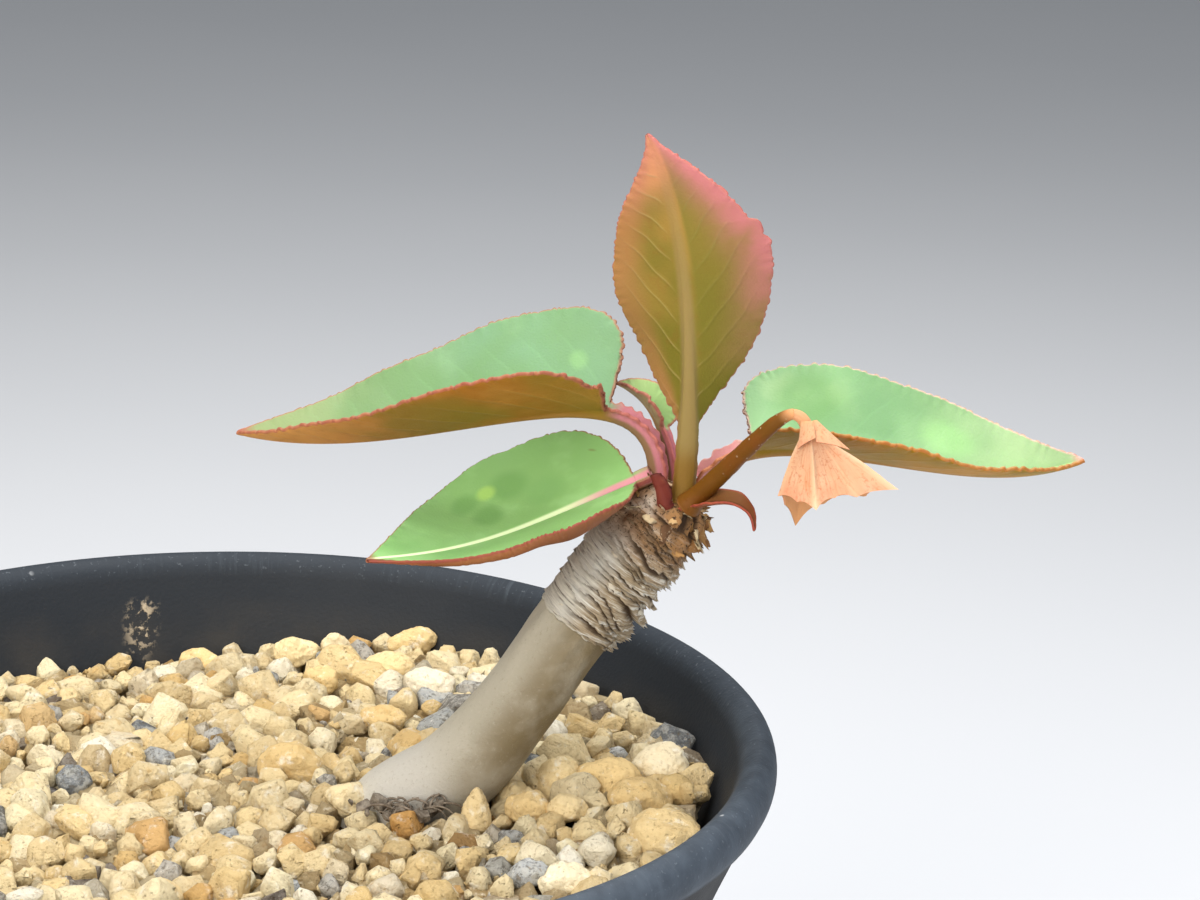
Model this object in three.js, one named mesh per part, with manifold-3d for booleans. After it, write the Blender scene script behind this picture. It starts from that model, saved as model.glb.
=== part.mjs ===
// A young potted euphorbia: a leaning grey stem with a collar of ringed bark, six
// toothed leaves, one nodding dried bloom, a bed of pale gravel and a round pot.
// Millimetres, +Z up. The origin is the middle of the pot's underside.
// +X points to the right of the plant's best side, and +Y points away from it.
import * as THREE from "three";
import { mergeVertices } from "three/addons/utils/BufferGeometryUtils.js";
import Module from "manifold-3d";

const wasm = await Module();
wasm.setup();

const { degToRad, lerp, clamp, seededRandom } = THREE.MathUtils;

// Driving dimensions.

const GAP = 0.3; // air left between neighbouring pieces
const ROUND_SIDES = 40; // sides of the pot and of the gravel bed
const SAME_POINT = 1e-5; // corners closer than this are one corner

const POT = {
  height: 90,
  rimRadius: 60,
  lipHeight: 89.2,
  // The rim bead from its underside to the inner lip: in from the rim, down from the top.
  bead: [[0.7, 4.6], [0, 2.5], [0.5, 0.8], [1.8, 0], [3.5, 0.8]],
  wallTop: 85, // where the wall meets the bead
  footRadius: 37.4,
  footSlope: 0.14, // how much the wall leans out per millimetre at the foot
  topSlope: 0.466, // and just under the rim
  wallAtFoot: 1.8,
  wallGain: 2.2, // how much thicker the wall is just under the rim
  innerTop: 84.4,
  floor: 3.8,
  underside: 1.6,
  footWidth: 5.4,
  footEdge: 0.8,
  padRadius: 8,
  levels: 5,
  drainHoles: 8,
  drainRadius: 3.5,
  drainSides: 8,
  drainCircle: 20,
};

const GRAVEL = {
  levelAtMiddle: 81.1,
  rise: 0.06, // the bed climbs towards +X
  dip: { x: -15, y: 50, radius: 18, depth: 2.0 },
  bedBelowGrains: 1.6,
  grainRadius: 4.1,
  cornerReach: 1.2, // a grain's corners stand out past its radius
  tilt: 24, // the most that a grain tips over, in degrees
  stretch: [0.84, 1.16],
  sizes: [0.82, 1.08],
  sunk: [0.55, 0.25], // how deep a grain's middle lies, as a share of its radius
  pitch: 7.2,
  shift: 0.8,
  seed: 41,
};

// The larger, rounder pebbles among the grains: place across, place back, radius.
const PEBBLES = [
  [9, -14, 3.9], [23, 8, 3.8], [19, -2, 3.5], [44, 4, 4.2], [47, -7, 3.8], [40, -3, 3.6], [12, 14, 3.5],
];

// The stem from its root's end to the crown: x, y, z and radius.
const STEM = {
  route: [
    [7.5, 1.0, 52.0, 0.9], [8.2, 0.5, 62.0, 2.2], [11.0, 0.0, 72.5, 3.7], [17.2, -1.0, 81.2, 4.9],
    [24.6, -1.0, 85.8, 4.9], [31.1, -1.0, 93.3, 4.4], [36.4, -1.0, 101.4, 4.3], [41.2, -1.0, 108.5, 4.7],
    [46.8, -1.0, 116.1, 4.3],
  ],
  sides: 16,
  smoothRings: 17,
  barkFrom: 0.785, // share of the route where the bark collar starts
  ledges: 12,
  ledgeOut: 0.6, // how far a ledge stands out, and how far the groove above it does
  ledgeIn: 0.15,
  ledgeWave: 0.007,
  barkJitter: 0.13,
  dome: [[1.2, 0.88], [2.1, 0.6]], // height over the crown and share of its radius
  domeTop: 2.6,
  seed: 12,
};

// Papery scales left by old leaves: how many, their size, and where they start.
const SCALES = {
  count: 26,
  radius: 0.95,
  length: 2.7,
  flat: 0.62, // thickness as a share of the width
  sunk: 0.3, // share of the length that is rooted in the bark
  from: 0.9,
  lean: [-60, 35], // degrees, from pointing down the stem to pointing up it
  sizes: [0.75, 1.15],
  seed: 5,
};

// Each leaf: its midrib from the crown to the tip, the share of it that is bare
// stalk, the widest half width, where it is fullest, its roll, and how far each
// half folds up at the base and at the tip. "side" points across the left half.
const LEAVES = {
  leaf_upright: {
    midrib: [[48.2, -3.6, 117.6], [49.1, -3.4, 129.8], [47.8, -2.0, 147.4], [42.9, 1.2, 156.0]],
    side: [-1, 0, 0], bareShare: 0.16, halfWidth: 9.4, fullness: [1.35, 1.4], roll: 9,
    fold: { left: [42, 20], right: [54, -30] }, rib: [1.1, 0.42], teeth: 16,
  },
  leaf_right: {
    midrib: [[50.4, 0.3, 118.7], [56.4, 0.0, 128.9], [77.6, 3.4, 115.2], [92.1, 7.0, 120.9]],
    side: [0, -1, 0], bareShare: 0.205, halfWidth: 12.0, fullness: [0.14, 0.78], roll: -4,
    fold: { left: [32, 25], right: [23, 70] }, rib: [1.05, 0.35], teeth: 17,
  },
  leaf_upper_left: {
    midrib: [[45.4, -0.8, 118.9], [44.7, -0.8, 135.6], [20.9, 2.6, 117.2], [-0.9, 11.6, 119.0]],
    side: [0, 1, 0], bareShare: 0.28, halfWidth: 13.4, fullness: [0.18, 0.8], roll: 2,
    fold: { left: [41, 46], right: [38, 33] }, rib: [1.1, 0.35], teeth: 19,
  },
  leaf_lower_left: {
    midrib: [[44.8, -2.6, 120.2], [31.0, -3.2, 114.8], [27.5, -5.5, 112.8], [15.6, -13.0, 112.8]],
    side: [0, 1, 0], bareShare: 0.04, halfWidth: 12.9, fullness: [0.4, 0.95], roll: -5,
    fold: { left: [36, 9], right: [1, 6] }, rib: [0.95, 0.35], teeth: 16,
  },
  leaf_small_back: {
    midrib: [[47.2, 1.4, 117.6], [47.2, 3.4, 123.0], [44.4, 6.0, 126.4], [40.9, 7.6, 127.4]],
    side: [0.3, 1, 0.3], bareShare: 0.42, halfWidth: 3.1, fullness: [0.4, 0.8], roll: 0,
    fold: { left: [35, 30], right: [50, 45] }, rib: [0.75, 0.35], teeth: 6,
  },
  leaf_curled: {
    midrib: [[48.2, -4.4, 117.2], [50.7, -6.2, 118.3], [55.3, -8.2, 120.5], [55.7, -8.6, 116.2]],
    side: [0, -1, 0.3], bareShare: 0.15, halfWidth: 1.9, fullness: [0.6, 0.75], roll: 0,
    fold: { left: [30, 35], right: [35, 40] }, rib: [0.65, 0.35], teeth: 5,
  },
  bud_scale: {
    midrib: [[46.3, -4.5, 117.4], [45.9, -5.3, 118.8], [45.4, -5.4, 120.0], [44.9, -5.2, 121.0]],
    side: [-0.7, 0.7, 0], bareShare: 0.1, halfWidth: 1.25, fullness: [0.25, 0.35], roll: 0,
    fold: { left: [30, 30], right: [30, 30] }, rib: [0.7, 0.5], teeth: 2,
  },
};

const BLADE = {
  thickness: 0.8,
  stalkRings: 7,
  wing: 0.35, // the crisp edge along each side of a leaf stalk
  ribDepth: 0.95, // depth of the midrib for each millimetre of its half width
  ribShoulder: 0.55, // depth beside the midrib's crest, as a share of its depth
  channel: 0.15, // the groove along the upper side of the midrib
  shoulder: 0.58, // where the middle column of each half lies
  cup: 10, // extra fold between the inner and the outer part of a half, in degrees
  toothDepth: 0.55,
  ripple: 0.28,
  ripples: 5,
};

const STALK = {
  route: [
    [48.8, -4.2, 117.4], [51.6, -6.0, 121.1], [55.0, -9.0, 125.8], [57.1, -10.8, 128.6], [58.6, -11.5, 129.8],
  ],
  radius: [1.0, 0.72],
  rings: 12,
  sides: 8,
};

// The dried bract cup hangs from the stalk's end. Its rim runs through corners and
// hollows, each given by its bearing in degrees, its reach and its drop.
const BRACTS = {
  neck: [[58.6, -11.5, 129.8], [59.9, -11.5, 130.0], [60.6, -11.5, 128.6], [60.6, -11.5, 127.0]],
  neckRadius: 0.78,
  neckRings: 5,
  rim: [
    [-170, 2.9, 5.8], [-110, 2.9, 5.7], [-77, 4.1, 6.1], [-44, 4.0, 5.1], [-26, 5.7, 5.0],
    [-3, 9.6, 4.6], [17, 6.7, 6.2], [56, 4.2, 7.6], [100, 3.6, 10.1], [138, 2.6, 7.4],
  ],
  between: 2, // steps from one rim point to the next
  levels: 3,
  flare: 0.85,
  wall: 0.6,
  roof: 0.6, // the cup's closed top stands this far over its neck's end
  scallop: 0.06, // how far the edge draws in between its corners
  innermost: 0.25,
  cape: [
    { root: [60.3, -12.1, 128.9], tip: [59.3, -13.2, 126.0], width: 1.5 },
    { root: [60.7, -12.0, 129.2], tip: [64.4, -13.4, 126.7], width: 1.7 },
  ],
  // Half a flap's cross-section: share of its half width, and height.
  flap: [[-1, -0.5], [1, -0.5], [1, 0.1], [0, 0.45], [-1, 0.1]],
};

// Looks of the pieces.

const paint = (color, roughness, metalness = 0) =>
  new THREE.MeshStandardMaterial({ color, roughness, metalness, flatShading: true });
const FINISH = {
  pot: paint(0x2c3036, 0.55),
  gravel: paint(0xd8b98a, 0.9),
  stem: paint(0xb7ac9c, 0.8),
  greenLeaf: paint(0x7fc489, 0.5),
  youngLeaf: paint(0xb0904f, 0.5),
  redLeaf: paint(0x9a4a3c, 0.55),
  stalk: paint(0x8a5a35, 0.6),
  bracts: paint(0xe0a274, 0.75),
};

// Turning surfaces into closed solids, and back.

function signedVolume(points, triangles) {
  const corner = [new THREE.Vector3(), new THREE.Vector3(), new THREE.Vector3()];
  let sum = 0;
  for (let i = 0; i < triangles.length; i += 3) {
    corner.forEach((v, k) => v.fromArray(points, 3 * triangles[i + k]));
    sum += corner[0].dot(corner[1].cross(corner[2]));
  }
  return sum / 6;
}

// A three.js surface as a closed solid with its faces pointing out.
function toSolid(geometry) {
  const bare = geometry.clone();
  bare.deleteAttribute("normal");
  bare.deleteAttribute("uv");
  const merged = mergeVertices(bare, SAME_POINT);
  const points = merged.attributes.position.array;
  const triangles = [];
  for (let i = 0; i < merged.index.count; i += 3) {
    const [a, b, c] = [0, 1, 2].map((k) => merged.index.getX(i + k));
    if (a !== b && b !== c && c !== a) triangles.push(a, b, c);
  }
  if (signedVolume(points, triangles) < 0) triangles.reverse();
  const mesh = new wasm.Mesh({
    numProp: 3,
    vertProperties: new Float32Array(points),
    triVerts: new Uint32Array(triangles),
  });
  return new wasm.Manifold(mesh);
}

function toGeometry(solid) {
  const mesh = solid.getMesh();
  const geometry = new THREE.BufferGeometry();
  geometry.setAttribute("position", new THREE.BufferAttribute(new Float32Array(mesh.vertProperties), 3));
  geometry.setIndex(new THREE.BufferAttribute(new Uint32Array(mesh.triVerts), 1));
  geometry.computeVertexNormals();
  return geometry;
}

// The largest body of a solid: scraps cut loose are dropped.
function largestBody(solid) {
  return solid.decompose().reduce((best, body) => (body.volume() > best.volume() ? body : best));
}

function boxesMeet(a, b) {
  const [p, q] = [a.boundingBox(), b.boundingBox()];
  return [0, 1, 2].every((k) => p.min[k] <= q.max[k] && q.min[k] <= p.max[k]);
}

function cutClear(solid, others) {
  const near = others.filter((other) => boxesMeet(solid, other));
  return near.length ? largestBody(near.reduce((rest, other) => rest.subtract(other), solid)) : solid;
}

// A closed skin over rings with equal numbers of points, with a fan at each end.
// With foldAlike, the loop's second half is split the other way, so that the two
// faces of a thin blade are divided into triangles alike.
function skinOver(rings, start, end, foldAlike = false) {
  const count = rings[0].length;
  const points = [start, ...rings.flat(), end];
  const at = (ring, k) => 1 + ring * count + (k % count);
  const triangles = [];
  for (let k = 0; k < count; k++) {
    triangles.push(0, at(0, k + 1), at(0, k));
    triangles.push(points.length - 1, at(rings.length - 1, k), at(rings.length - 1, k + 1));
    for (let i = 0; i + 1 < rings.length; i++) {
      const [a, b, c, d] = [at(i, k), at(i, k + 1), at(i + 1, k + 1), at(i + 1, k)];
      if (foldAlike && k >= count / 2) triangles.push(a, b, d, b, c, d);
      else triangles.push(a, b, c, a, c, d);
    }
  }
  const geometry = new THREE.BufferGeometry().setFromPoints(points);
  geometry.setIndex(triangles);
  return geometry;
}

const vector = (xyz) => new THREE.Vector3(...xyz);

// The forward, sideways and upward directions of a curve at a share of its length.
function frameAt(curve, t, side) {
  const forward = curve.getTangent(t);
  const across = side.clone().addScaledVector(forward, -side.dot(forward)).normalize();
  return { middle: curve.getPoint(t), forward, across, up: across.clone().cross(forward) };
}

// One round ring about a curve; radiusAt takes the angle round it.
function roundRing(frame, sides, radiusAt) {
  return Array.from({ length: sides }, (_, k) => {
    const angle = (2 * Math.PI * k) / sides;
    const radius = radiusAt(angle);
    return frame.middle.clone()
      .addScaledVector(frame.across, radius * Math.cos(angle))
      .addScaledVector(frame.up, radius * Math.sin(angle));
  });
}

// The pot.

function outerRadius(z) {
  const ease = (POT.topSlope - POT.footSlope) * (z / POT.wallTop) ** 2 / 3;
  return POT.footRadius + z * (POT.footSlope + ease);
}

function innerRadius(z) {
  return outerRadius(z) - POT.wallAtFoot - POT.wallGain * (z / POT.innerTop) ** 3;
}

const innerLevels = Array.from({ length: POT.levels }, (_, i) =>
  lerp(POT.floor, POT.innerTop, i / (POT.levels - 1)));

function lathe(profile) {
  const geometry = new THREE.LatheGeometry(profile.map(([r, z]) => new THREE.Vector2(r, z)), ROUND_SIDES);
  return toSolid(geometry.rotateX(Math.PI / 2));
}

function pot() {
  const footInner = outerRadius(0) - POT.footWidth;
  const under = [
    [0, 0], [POT.padRadius, 0], [POT.padRadius + POT.footEdge, POT.underside],
    [footInner - POT.footEdge, POT.underside], [footInner, 0], [outerRadius(0) - POT.footEdge, 0],
  ];
  const wall = Array.from({ length: POT.levels }, (_, i) => {
    const z = lerp(POT.footEdge, POT.wallTop, i / (POT.levels - 1));
    return [outerRadius(z), z];
  });
  const bead = POT.bead.map(([inwards, down]) => [POT.rimRadius - inwards, POT.height - down]);
  const inside = innerLevels.map((z) => [innerRadius(z), z]).reverse();
  let solid = lathe([...under, ...wall, ...bead, ...inside, [0, POT.floor]]);
  for (let i = 0; i < POT.drainHoles; i++) {
    const angle = (2 * Math.PI * (i + 0.5)) / POT.drainHoles;
    const drill = new THREE.CylinderGeometry(POT.drainRadius, POT.drainRadius, 3 * POT.floor, POT.drainSides)
      .rotateX(Math.PI / 2)
      .translate(POT.drainCircle * Math.cos(angle), POT.drainCircle * Math.sin(angle), POT.floor / 2);
    solid = solid.subtract(toSolid(drill));
  }
  return solid;
}

// The gravel.

function gravelLevel(x, y) {
  const { levelAtMiddle, rise, dip } = GRAVEL;
  const away = Math.hypot(x - dip.x, y - dip.y) / dip.radius;
  return levelAtMiddle + rise * x - dip.depth * Math.exp(-away * away);
}

// One angular grain: an octahedron that lies with a face up, then is stretched,
// tilted a little and turned by chance.
function grain(x, y, radius) {
  const faceUp = new THREE.Quaternion().setFromUnitVectors(
    new THREE.Vector3(1, 1, 1).normalize(), new THREE.Vector3(0, 0, 1));
  const tilt = () => degToRad(lerp(-GRAVEL.tilt, GRAVEL.tilt, seededRandom()));
  const shape = new THREE.OctahedronGeometry(radius * GRAVEL.cornerReach, 0)
    .applyQuaternion(faceUp)
    .scale(...[0, 1, 2].map(() => lerp(...GRAVEL.stretch, seededRandom())))
    .rotateX(tilt())
    .rotateY(tilt())
    .rotateZ(2 * Math.PI * seededRandom());
  return toSolid(shape.translate(x, y, gravelLevel(x, y) - radius * lerp(...GRAVEL.sunk, seededRandom())));
}

function gravel(root) {
  seededRandom(GRAVEL.seed);
  const { pitch, shift, grainRadius, bedBelowGrains, levelAtMiddle, rise } = GRAVEL;
  const bottom = POT.floor + GAP;
  const levels = [bottom, ...innerLevels.slice(1), POT.lipHeight];
  const room = lathe([[0, bottom], ...levels.map((z) => [innerRadius(z) - GAP, z]), [0, POT.lipHeight]]);
  const slab = new THREE.BoxGeometry(3 * POT.rimRadius, 3 * POT.rimRadius, POT.height)
    .translate(0, 0, -POT.height / 2)
    .rotateY(-Math.atan(rise))
    .translate(0, 0, levelAtMiddle - bedBelowGrains);
  const reach = innerRadius(levelAtMiddle) - GAP;
  const solids = [toSolid(slab), ...PEBBLES.map(([x, y, radius]) => grain(x, y, radius))];
  const rowStep = pitch * Math.sqrt(3 / 4);
  for (let row = Math.ceil(-reach / rowStep); row * rowStep <= reach; row++) {
    for (let column = Math.floor(-reach / pitch); column * pitch <= reach; column++) {
      const x = (column + (row % 2 ? 0.5 : 0)) * pitch + lerp(-shift, shift, seededRandom());
      const y = row * rowStep + lerp(-shift, shift, seededRandom());
      const onPebble = PEBBLES.some(([px, py, radius]) => Math.hypot(x - px, y - py) < radius);
      if (Math.hypot(x, y) < reach - 0.3 * grainRadius && !onPebble) {
        solids.push(grain(x, y, grainRadius * lerp(...GRAVEL.sizes, seededRandom())));
      }
    }
  }
  return largestBody(wasm.Manifold.union(solids).intersect(room).subtract(root));
}

// The stem.

const stemCurve = new THREE.CatmullRomCurve3(STEM.route.map(([x, y, z]) => new THREE.Vector3(x, y, z)));
const stemGirth = new THREE.SplineCurve(STEM.route.map(([, , , radius], i) => new THREE.Vector2(i, radius)));
const STEM_SIDE = vector([0, 1, 0]);

// The stem's skin. The plain one is smooth and encloses every ledge; grow adds to it.
function stemSkin(plain, grow = 0) {
  seededRandom(STEM.seed);
  const { sides, smoothRings, barkFrom, ledges, ledgeOut, ledgeIn, ledgeWave, barkJitter } = STEM;
  const rings = [];
  const ring = (t, relief, wave, jitter) => {
    const girth = stemGirth.getPoint(t).y;
    const phase = 2 * Math.PI * seededRandom();
    rings.push(Array.from({ length: sides }, (_, k) => {
      const angle = (2 * Math.PI * k) / sides;
      const here = clamp(t + wave * Math.sin(angle + phase), 0, 1);
      const radius = girth + grow + relief + jitter * lerp(-1, 1, seededRandom());
      return roundRing(frameAt(stemCurve, here, STEM_SIDE), sides, () => radius)[k];
    }));
  };
  for (let i = 0; i < smoothRings; i++) ring((barkFrom * i) / smoothRings, 0, 0, 0);
  for (let i = 0; i < ledges; i++) {
    const at = (share) => lerp(barkFrom, 1, (i + share) / ledges);
    const wave = plain ? 0 : ledgeWave;
    const jitter = plain ? 0 : barkJitter;
    ring(at(0.1), plain ? ledgeOut + barkJitter : ledgeOut, wave, jitter);
    ring(at(0.8), plain ? ledgeOut + barkJitter : ledgeIn, wave, jitter);
  }
  const crown = frameAt(stemCurve, 1, STEM_SIDE);
  const crownRadius = stemGirth.getPoint(1).y;
  for (const [height, share] of STEM.dome) {
    const lifted = { ...crown, middle: crown.middle.clone().addScaledVector(crown.forward, height + grow) };
    rings.push(roundRing(lifted, sides, () => crownRadius * share + grow));
  }
  const rootEnd = stemCurve.getPoint(0).addScaledVector(stemCurve.getTangent(0), -1 - grow);
  const top = crown.middle.clone().addScaledVector(crown.forward, STEM.domeTop + grow);
  return toSolid(skinOver(rings, rootEnd, top));
}

// A flat, pointed, papery scale, rooted in the bark and leaning out of it.
function scale(t, angle, lean, size) {
  const frame = frameAt(stemCurve, t, STEM_SIDE);
  const out = frame.across.clone().multiplyScalar(Math.cos(angle)).addScaledVector(frame.up, Math.sin(angle));
  const point = out.clone().multiplyScalar(Math.cos(lean)).addScaledVector(frame.forward, Math.sin(lean));
  const sideways = out.clone().cross(frame.forward);
  const turn = new THREE.Matrix4().makeBasis(sideways, point, sideways.clone().cross(point));
  const root = frame.middle.clone().addScaledVector(out, stemGirth.getPoint(t).y - SCALES.sunk * SCALES.length);
  const cone = new THREE.ConeGeometry(SCALES.radius * size, SCALES.length * size, 4)
    .scale(1, 1, SCALES.flat)
    .translate(0, (SCALES.length * size) / 2, 0)
    .applyMatrix4(turn)
    .translate(...root.toArray());
  return toSolid(cone);
}

function stem(organs) {
  seededRandom(SCALES.seed);
  const scales = Array.from({ length: SCALES.count }, (_, i) => {
    const t = lerp(SCALES.from, 1, Math.sqrt(seededRandom()));
    const angle = (2 * Math.PI * (i + 0.6 * seededRandom())) / SCALES.count;
    return scale(t, angle, degToRad(lerp(...SCALES.lean, seededRandom())), lerp(...SCALES.sizes, seededRandom()));
  });
  const litter = scales.map((piece) => cutClear(piece, organs));
  return largestBody(wasm.Manifold.union([stemSkin(false), ...litter]));
}

// The leaves.

// Share of the full width at a share of the blade's length.
function bladeShape(share, [atBase, atTip]) {
  const fullest = atBase / (atBase + atTip);
  return (share / fullest) ** atBase * ((1 - share) / (1 - fullest)) ** atTip;
}

// One point of a leaf's cross-section: how far out, and how far above or below.
function leafPoint(frame, fold, reach, across, lift, ripple) {
  const sign = Math.sign(across);
  const inner = Math.min(Math.abs(across), BLADE.shoulder * reach);
  const outer = Math.abs(across) - inner;
  const cup = degToRad(BLADE.cup / 2);
  const point = frame.middle.clone();
  const step = (length, angle) => point
    .addScaledVector(frame.across, sign * length * Math.cos(angle))
    .addScaledVector(frame.up, length * Math.sin(angle));
  step(inner, fold - cup);
  step(outer, fold + cup);
  const tilt = sign === 0 ? 0 : fold + (outer > 0 ? cup : 0);
  return point
    .addScaledVector(frame.across, -sign * (lift + ripple) * Math.sin(tilt))
    .addScaledVector(frame.up, (lift + ripple) * Math.cos(tilt));
}

function leafRing(leaf, curve, t, blade, tooth, grow) {
  const frame = frameAt(curve, t, vector(leaf.side));
  const roll = degToRad(leaf.roll);
  const across = frame.across.clone().multiplyScalar(Math.cos(roll)).addScaledVector(frame.up, Math.sin(roll));
  frame.up.multiplyScalar(Math.cos(roll)).addScaledVector(frame.across, -Math.sin(roll));
  frame.across.copy(across);
  const rib = lerp(leaf.rib[0], leaf.rib[1], t);
  const full = blade > 0 ? leaf.halfWidth * bladeShape(blade, leaf.fullness) : 0;
  const bite = (tooth ? -0.5 : 0.5) * BLADE.toothDepth * Math.min(1, full / 3);
  const reach = Math.max(full + bite, rib + BLADE.wing) + grow;
  const depth = rib * BLADE.ribDepth + grow;
  const half = BLADE.thickness / 2 + grow;
  const wave = BLADE.ripple * Math.min(1, full / leaf.halfWidth) * (grow ? 0 : 1);
  const shoulder = lerp(rib, reach, BLADE.shoulder);
  const point = (place, lift) => {
    const fold = leaf.fold[place > 0 ? "left" : "right"];
    const ripple = Math.abs(place) === 3 ? wave * Math.sin(2 * Math.PI * BLADE.ripples * blade + place) : 0;
    const distance = [0, rib, shoulder, reach][Math.abs(place)] * Math.sign(place);
    return leafPoint(frame, degToRad(lerp(fold[0], fold[1], blade)), reach, distance, lift, ripple);
  };
  const places = [-3, -2, -1, 0, 1, 2, 3];
  const upper = places.map((place) => point(place, place ? half : half - BLADE.channel));
  const besideRib = Math.max(half, BLADE.ribShoulder * depth);
  const under = places.map((place) => point(place, -[depth, besideRib, half, half][Math.abs(place)]));
  return [...upper, ...under.reverse()];
}

function leafSolid(leaf, grow = 0) {
  const curve = new THREE.CubicBezierCurve3(...leaf.midrib.map(vector));
  const steps = 2 * leaf.teeth;
  const rings = [];
  for (let i = 0; i < BLADE.stalkRings; i++) {
    rings.push(leafRing(leaf, curve, (leaf.bareShare * i) / BLADE.stalkRings, 0, false, grow));
  }
  for (let i = 0; i < steps; i++) {
    const blade = i / steps;
    rings.push(leafRing(leaf, curve, lerp(leaf.bareShare, 1, blade), blade, i % 2 === 0, grow));
  }
  const start = curve.getPoint(0).addScaledVector(curve.getTangent(0), -0.2);
  const end = curve.getPoint(1).addScaledVector(curve.getTangent(1), grow);
  return toSolid(skinOver(rings, start, end, true));
}

// The flower stalk and the bract cup.

function tube(curve, radii, ringCount, sides, grow) {
  const rings = Array.from({ length: ringCount + 1 }, (_, i) => {
    const t = i / ringCount;
    return roundRing(frameAt(curve, t, vector([0.3, 1, 0])), sides, () => lerp(radii[0], radii[1], t) + grow);
  });
  const ends = [0, 1].map((t) => curve.getPoint(t).addScaledVector(curve.getTangent(t), t ? grow : -grow));
  return skinOver(rings, ends[0], ends[1]);
}

function flowerStalk(grow = 0) {
  const curve = new THREE.CatmullRomCurve3(STALK.route.map(vector));
  return toSolid(tube(curve, STALK.radius, STALK.rings, STALK.sides, grow));
}

// The rim's bearings, reaches and drops, with even steps between the given points.
function rimPoints() {
  const { rim, between, scallop } = BRACTS;
  return rim.flatMap((from, i) => {
    const to = rim[(i + 1) % rim.length];
    const turn = to[0] < from[0] ? 360 : 0;
    return Array.from({ length: between }, (_, k) => {
      const share = k / between;
      const sag = k ? scallop : 0;
      return [
        degToRad(lerp(from[0], to[0] + turn, share)),
        lerp(from[1], to[1], share) * (1 - sag),
        lerp(from[2], to[2], share) * (1 - sag),
      ];
    });
  });
}

function bractCup() {
  const { neck, neckRadius, levels, flare, wall, roof, innermost } = BRACTS;
  const middle = vector(neck[3]).add(vector([0, 0, roof]));
  const ring = (share, inset) => rimPoints().map(([bearing, reach, drop]) => {
    const radius = Math.max(lerp(neckRadius, reach, share ** flare) - inset, innermost);
    const height = -(drop + roof) * share - inset * roof * (1 - share);
    return middle.clone().add(vector([radius * Math.cos(bearing), radius * Math.sin(bearing), height]));
  });
  const shares = Array.from({ length: levels }, (_, i) => (i + 1) / levels);
  const outer = [0, ...shares].map((share) => ring(share, 0));
  const inner = shares.map((share) => ring(share, wall)).reverse();
  const ceiling = ring(shares[0] / 2, wall);
  const under = ceiling.reduce((sum, p) => sum.add(p), new THREE.Vector3()).divideScalar(ceiling.length);
  return toSolid(skinOver([...outer, ...inner, ceiling], middle, under));
}

// One small three-cornered flap of the cape round the neck.
function capeFlap({ root, tip, width }) {
  const [from, to] = [vector(root), vector(tip)];
  const along = to.clone().sub(from).normalize();
  const sideways = along.clone().cross(vector([0, -1, 0])).normalize();
  const out = sideways.clone().cross(along);
  const ring = (middle, half) => BRACTS.flap.map(([share, height]) =>
    middle.clone().addScaledVector(sideways, share * half).addScaledVector(out, height));
  const widest = from.clone().lerp(to, 0.45);
  return toSolid(skinOver([ring(from, width / 3), ring(widest, width / 2)], from, to));
}

function flowerBracts() {
  const { neck, neckRadius, neckRings, cape } = BRACTS;
  const curve = new THREE.CubicBezierCurve3(...neck.map(vector));
  const top = toSolid(tube(curve, [neckRadius, neckRadius], neckRings, STALK.sides, 0));
  return wasm.Manifold.union([top, bractCup(), ...cape.map(capeFlap)]);
}

// Putting the plant together. Each organ is cut clear of the crown and of the
// organs before it, so that every piece keeps its air.

const crownRoom = stemSkin(true, GAP);
const organMakers = {
  flower_stalk: flowerStalk,
  ...Object.fromEntries(Object.entries(LEAVES).map(([name, leaf]) => [name, (grow) => leafSolid(leaf, grow)])),
  flower_bracts: flowerBracts,
};
const organs = {};
const organRooms = [];
for (const [name, make] of Object.entries(organMakers)) {
  organs[name] = cutClear(make(0), [crownRoom, ...organRooms]);
  organRooms.push(make(GAP));
}

const organFinish = {
  flower_stalk: FINISH.stalk,
  leaf_upright: FINISH.youngLeaf,
  leaf_curled: FINISH.redLeaf,
  bud_scale: FINISH.redLeaf,
  flower_bracts: FINISH.bracts,
};

const plant = new THREE.Group();
function place(name, solid, material) {
  const mesh = new THREE.Mesh(toGeometry(solid), material);
  mesh.name = name;
  plant.add(mesh);
}
place("pot", pot(), FINISH.pot);
place("gravel", gravel(stemSkin(true, GAP)), FINISH.gravel);
place("stem", stem(organRooms), FINISH.stem);
for (const [name, solid] of Object.entries(organs)) place(name, solid, organFinish[name] ?? FINISH.greenLeaf);

export default plant;
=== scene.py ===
"""The looks of a young potted euphorbia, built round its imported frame.

A leaning grey stem with a collar of ringed bark, toothed folded leaves, one nodding
dried bloom, a bed of pale pumice and a round dark pot. Sizes are in millimetres, in
the frame's own axes, until a mesh is made of them in metres.
"""

import logging
import math
from dataclasses import dataclass, field
from enum import Enum
from typing import Any, Callable

import bmesh
import bpy
import numpy as np
from bpy.types import Collection, Material, Mesh, Node, NodeTree, Object
from mathutils import Euler, Matrix, Vector, noise


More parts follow.
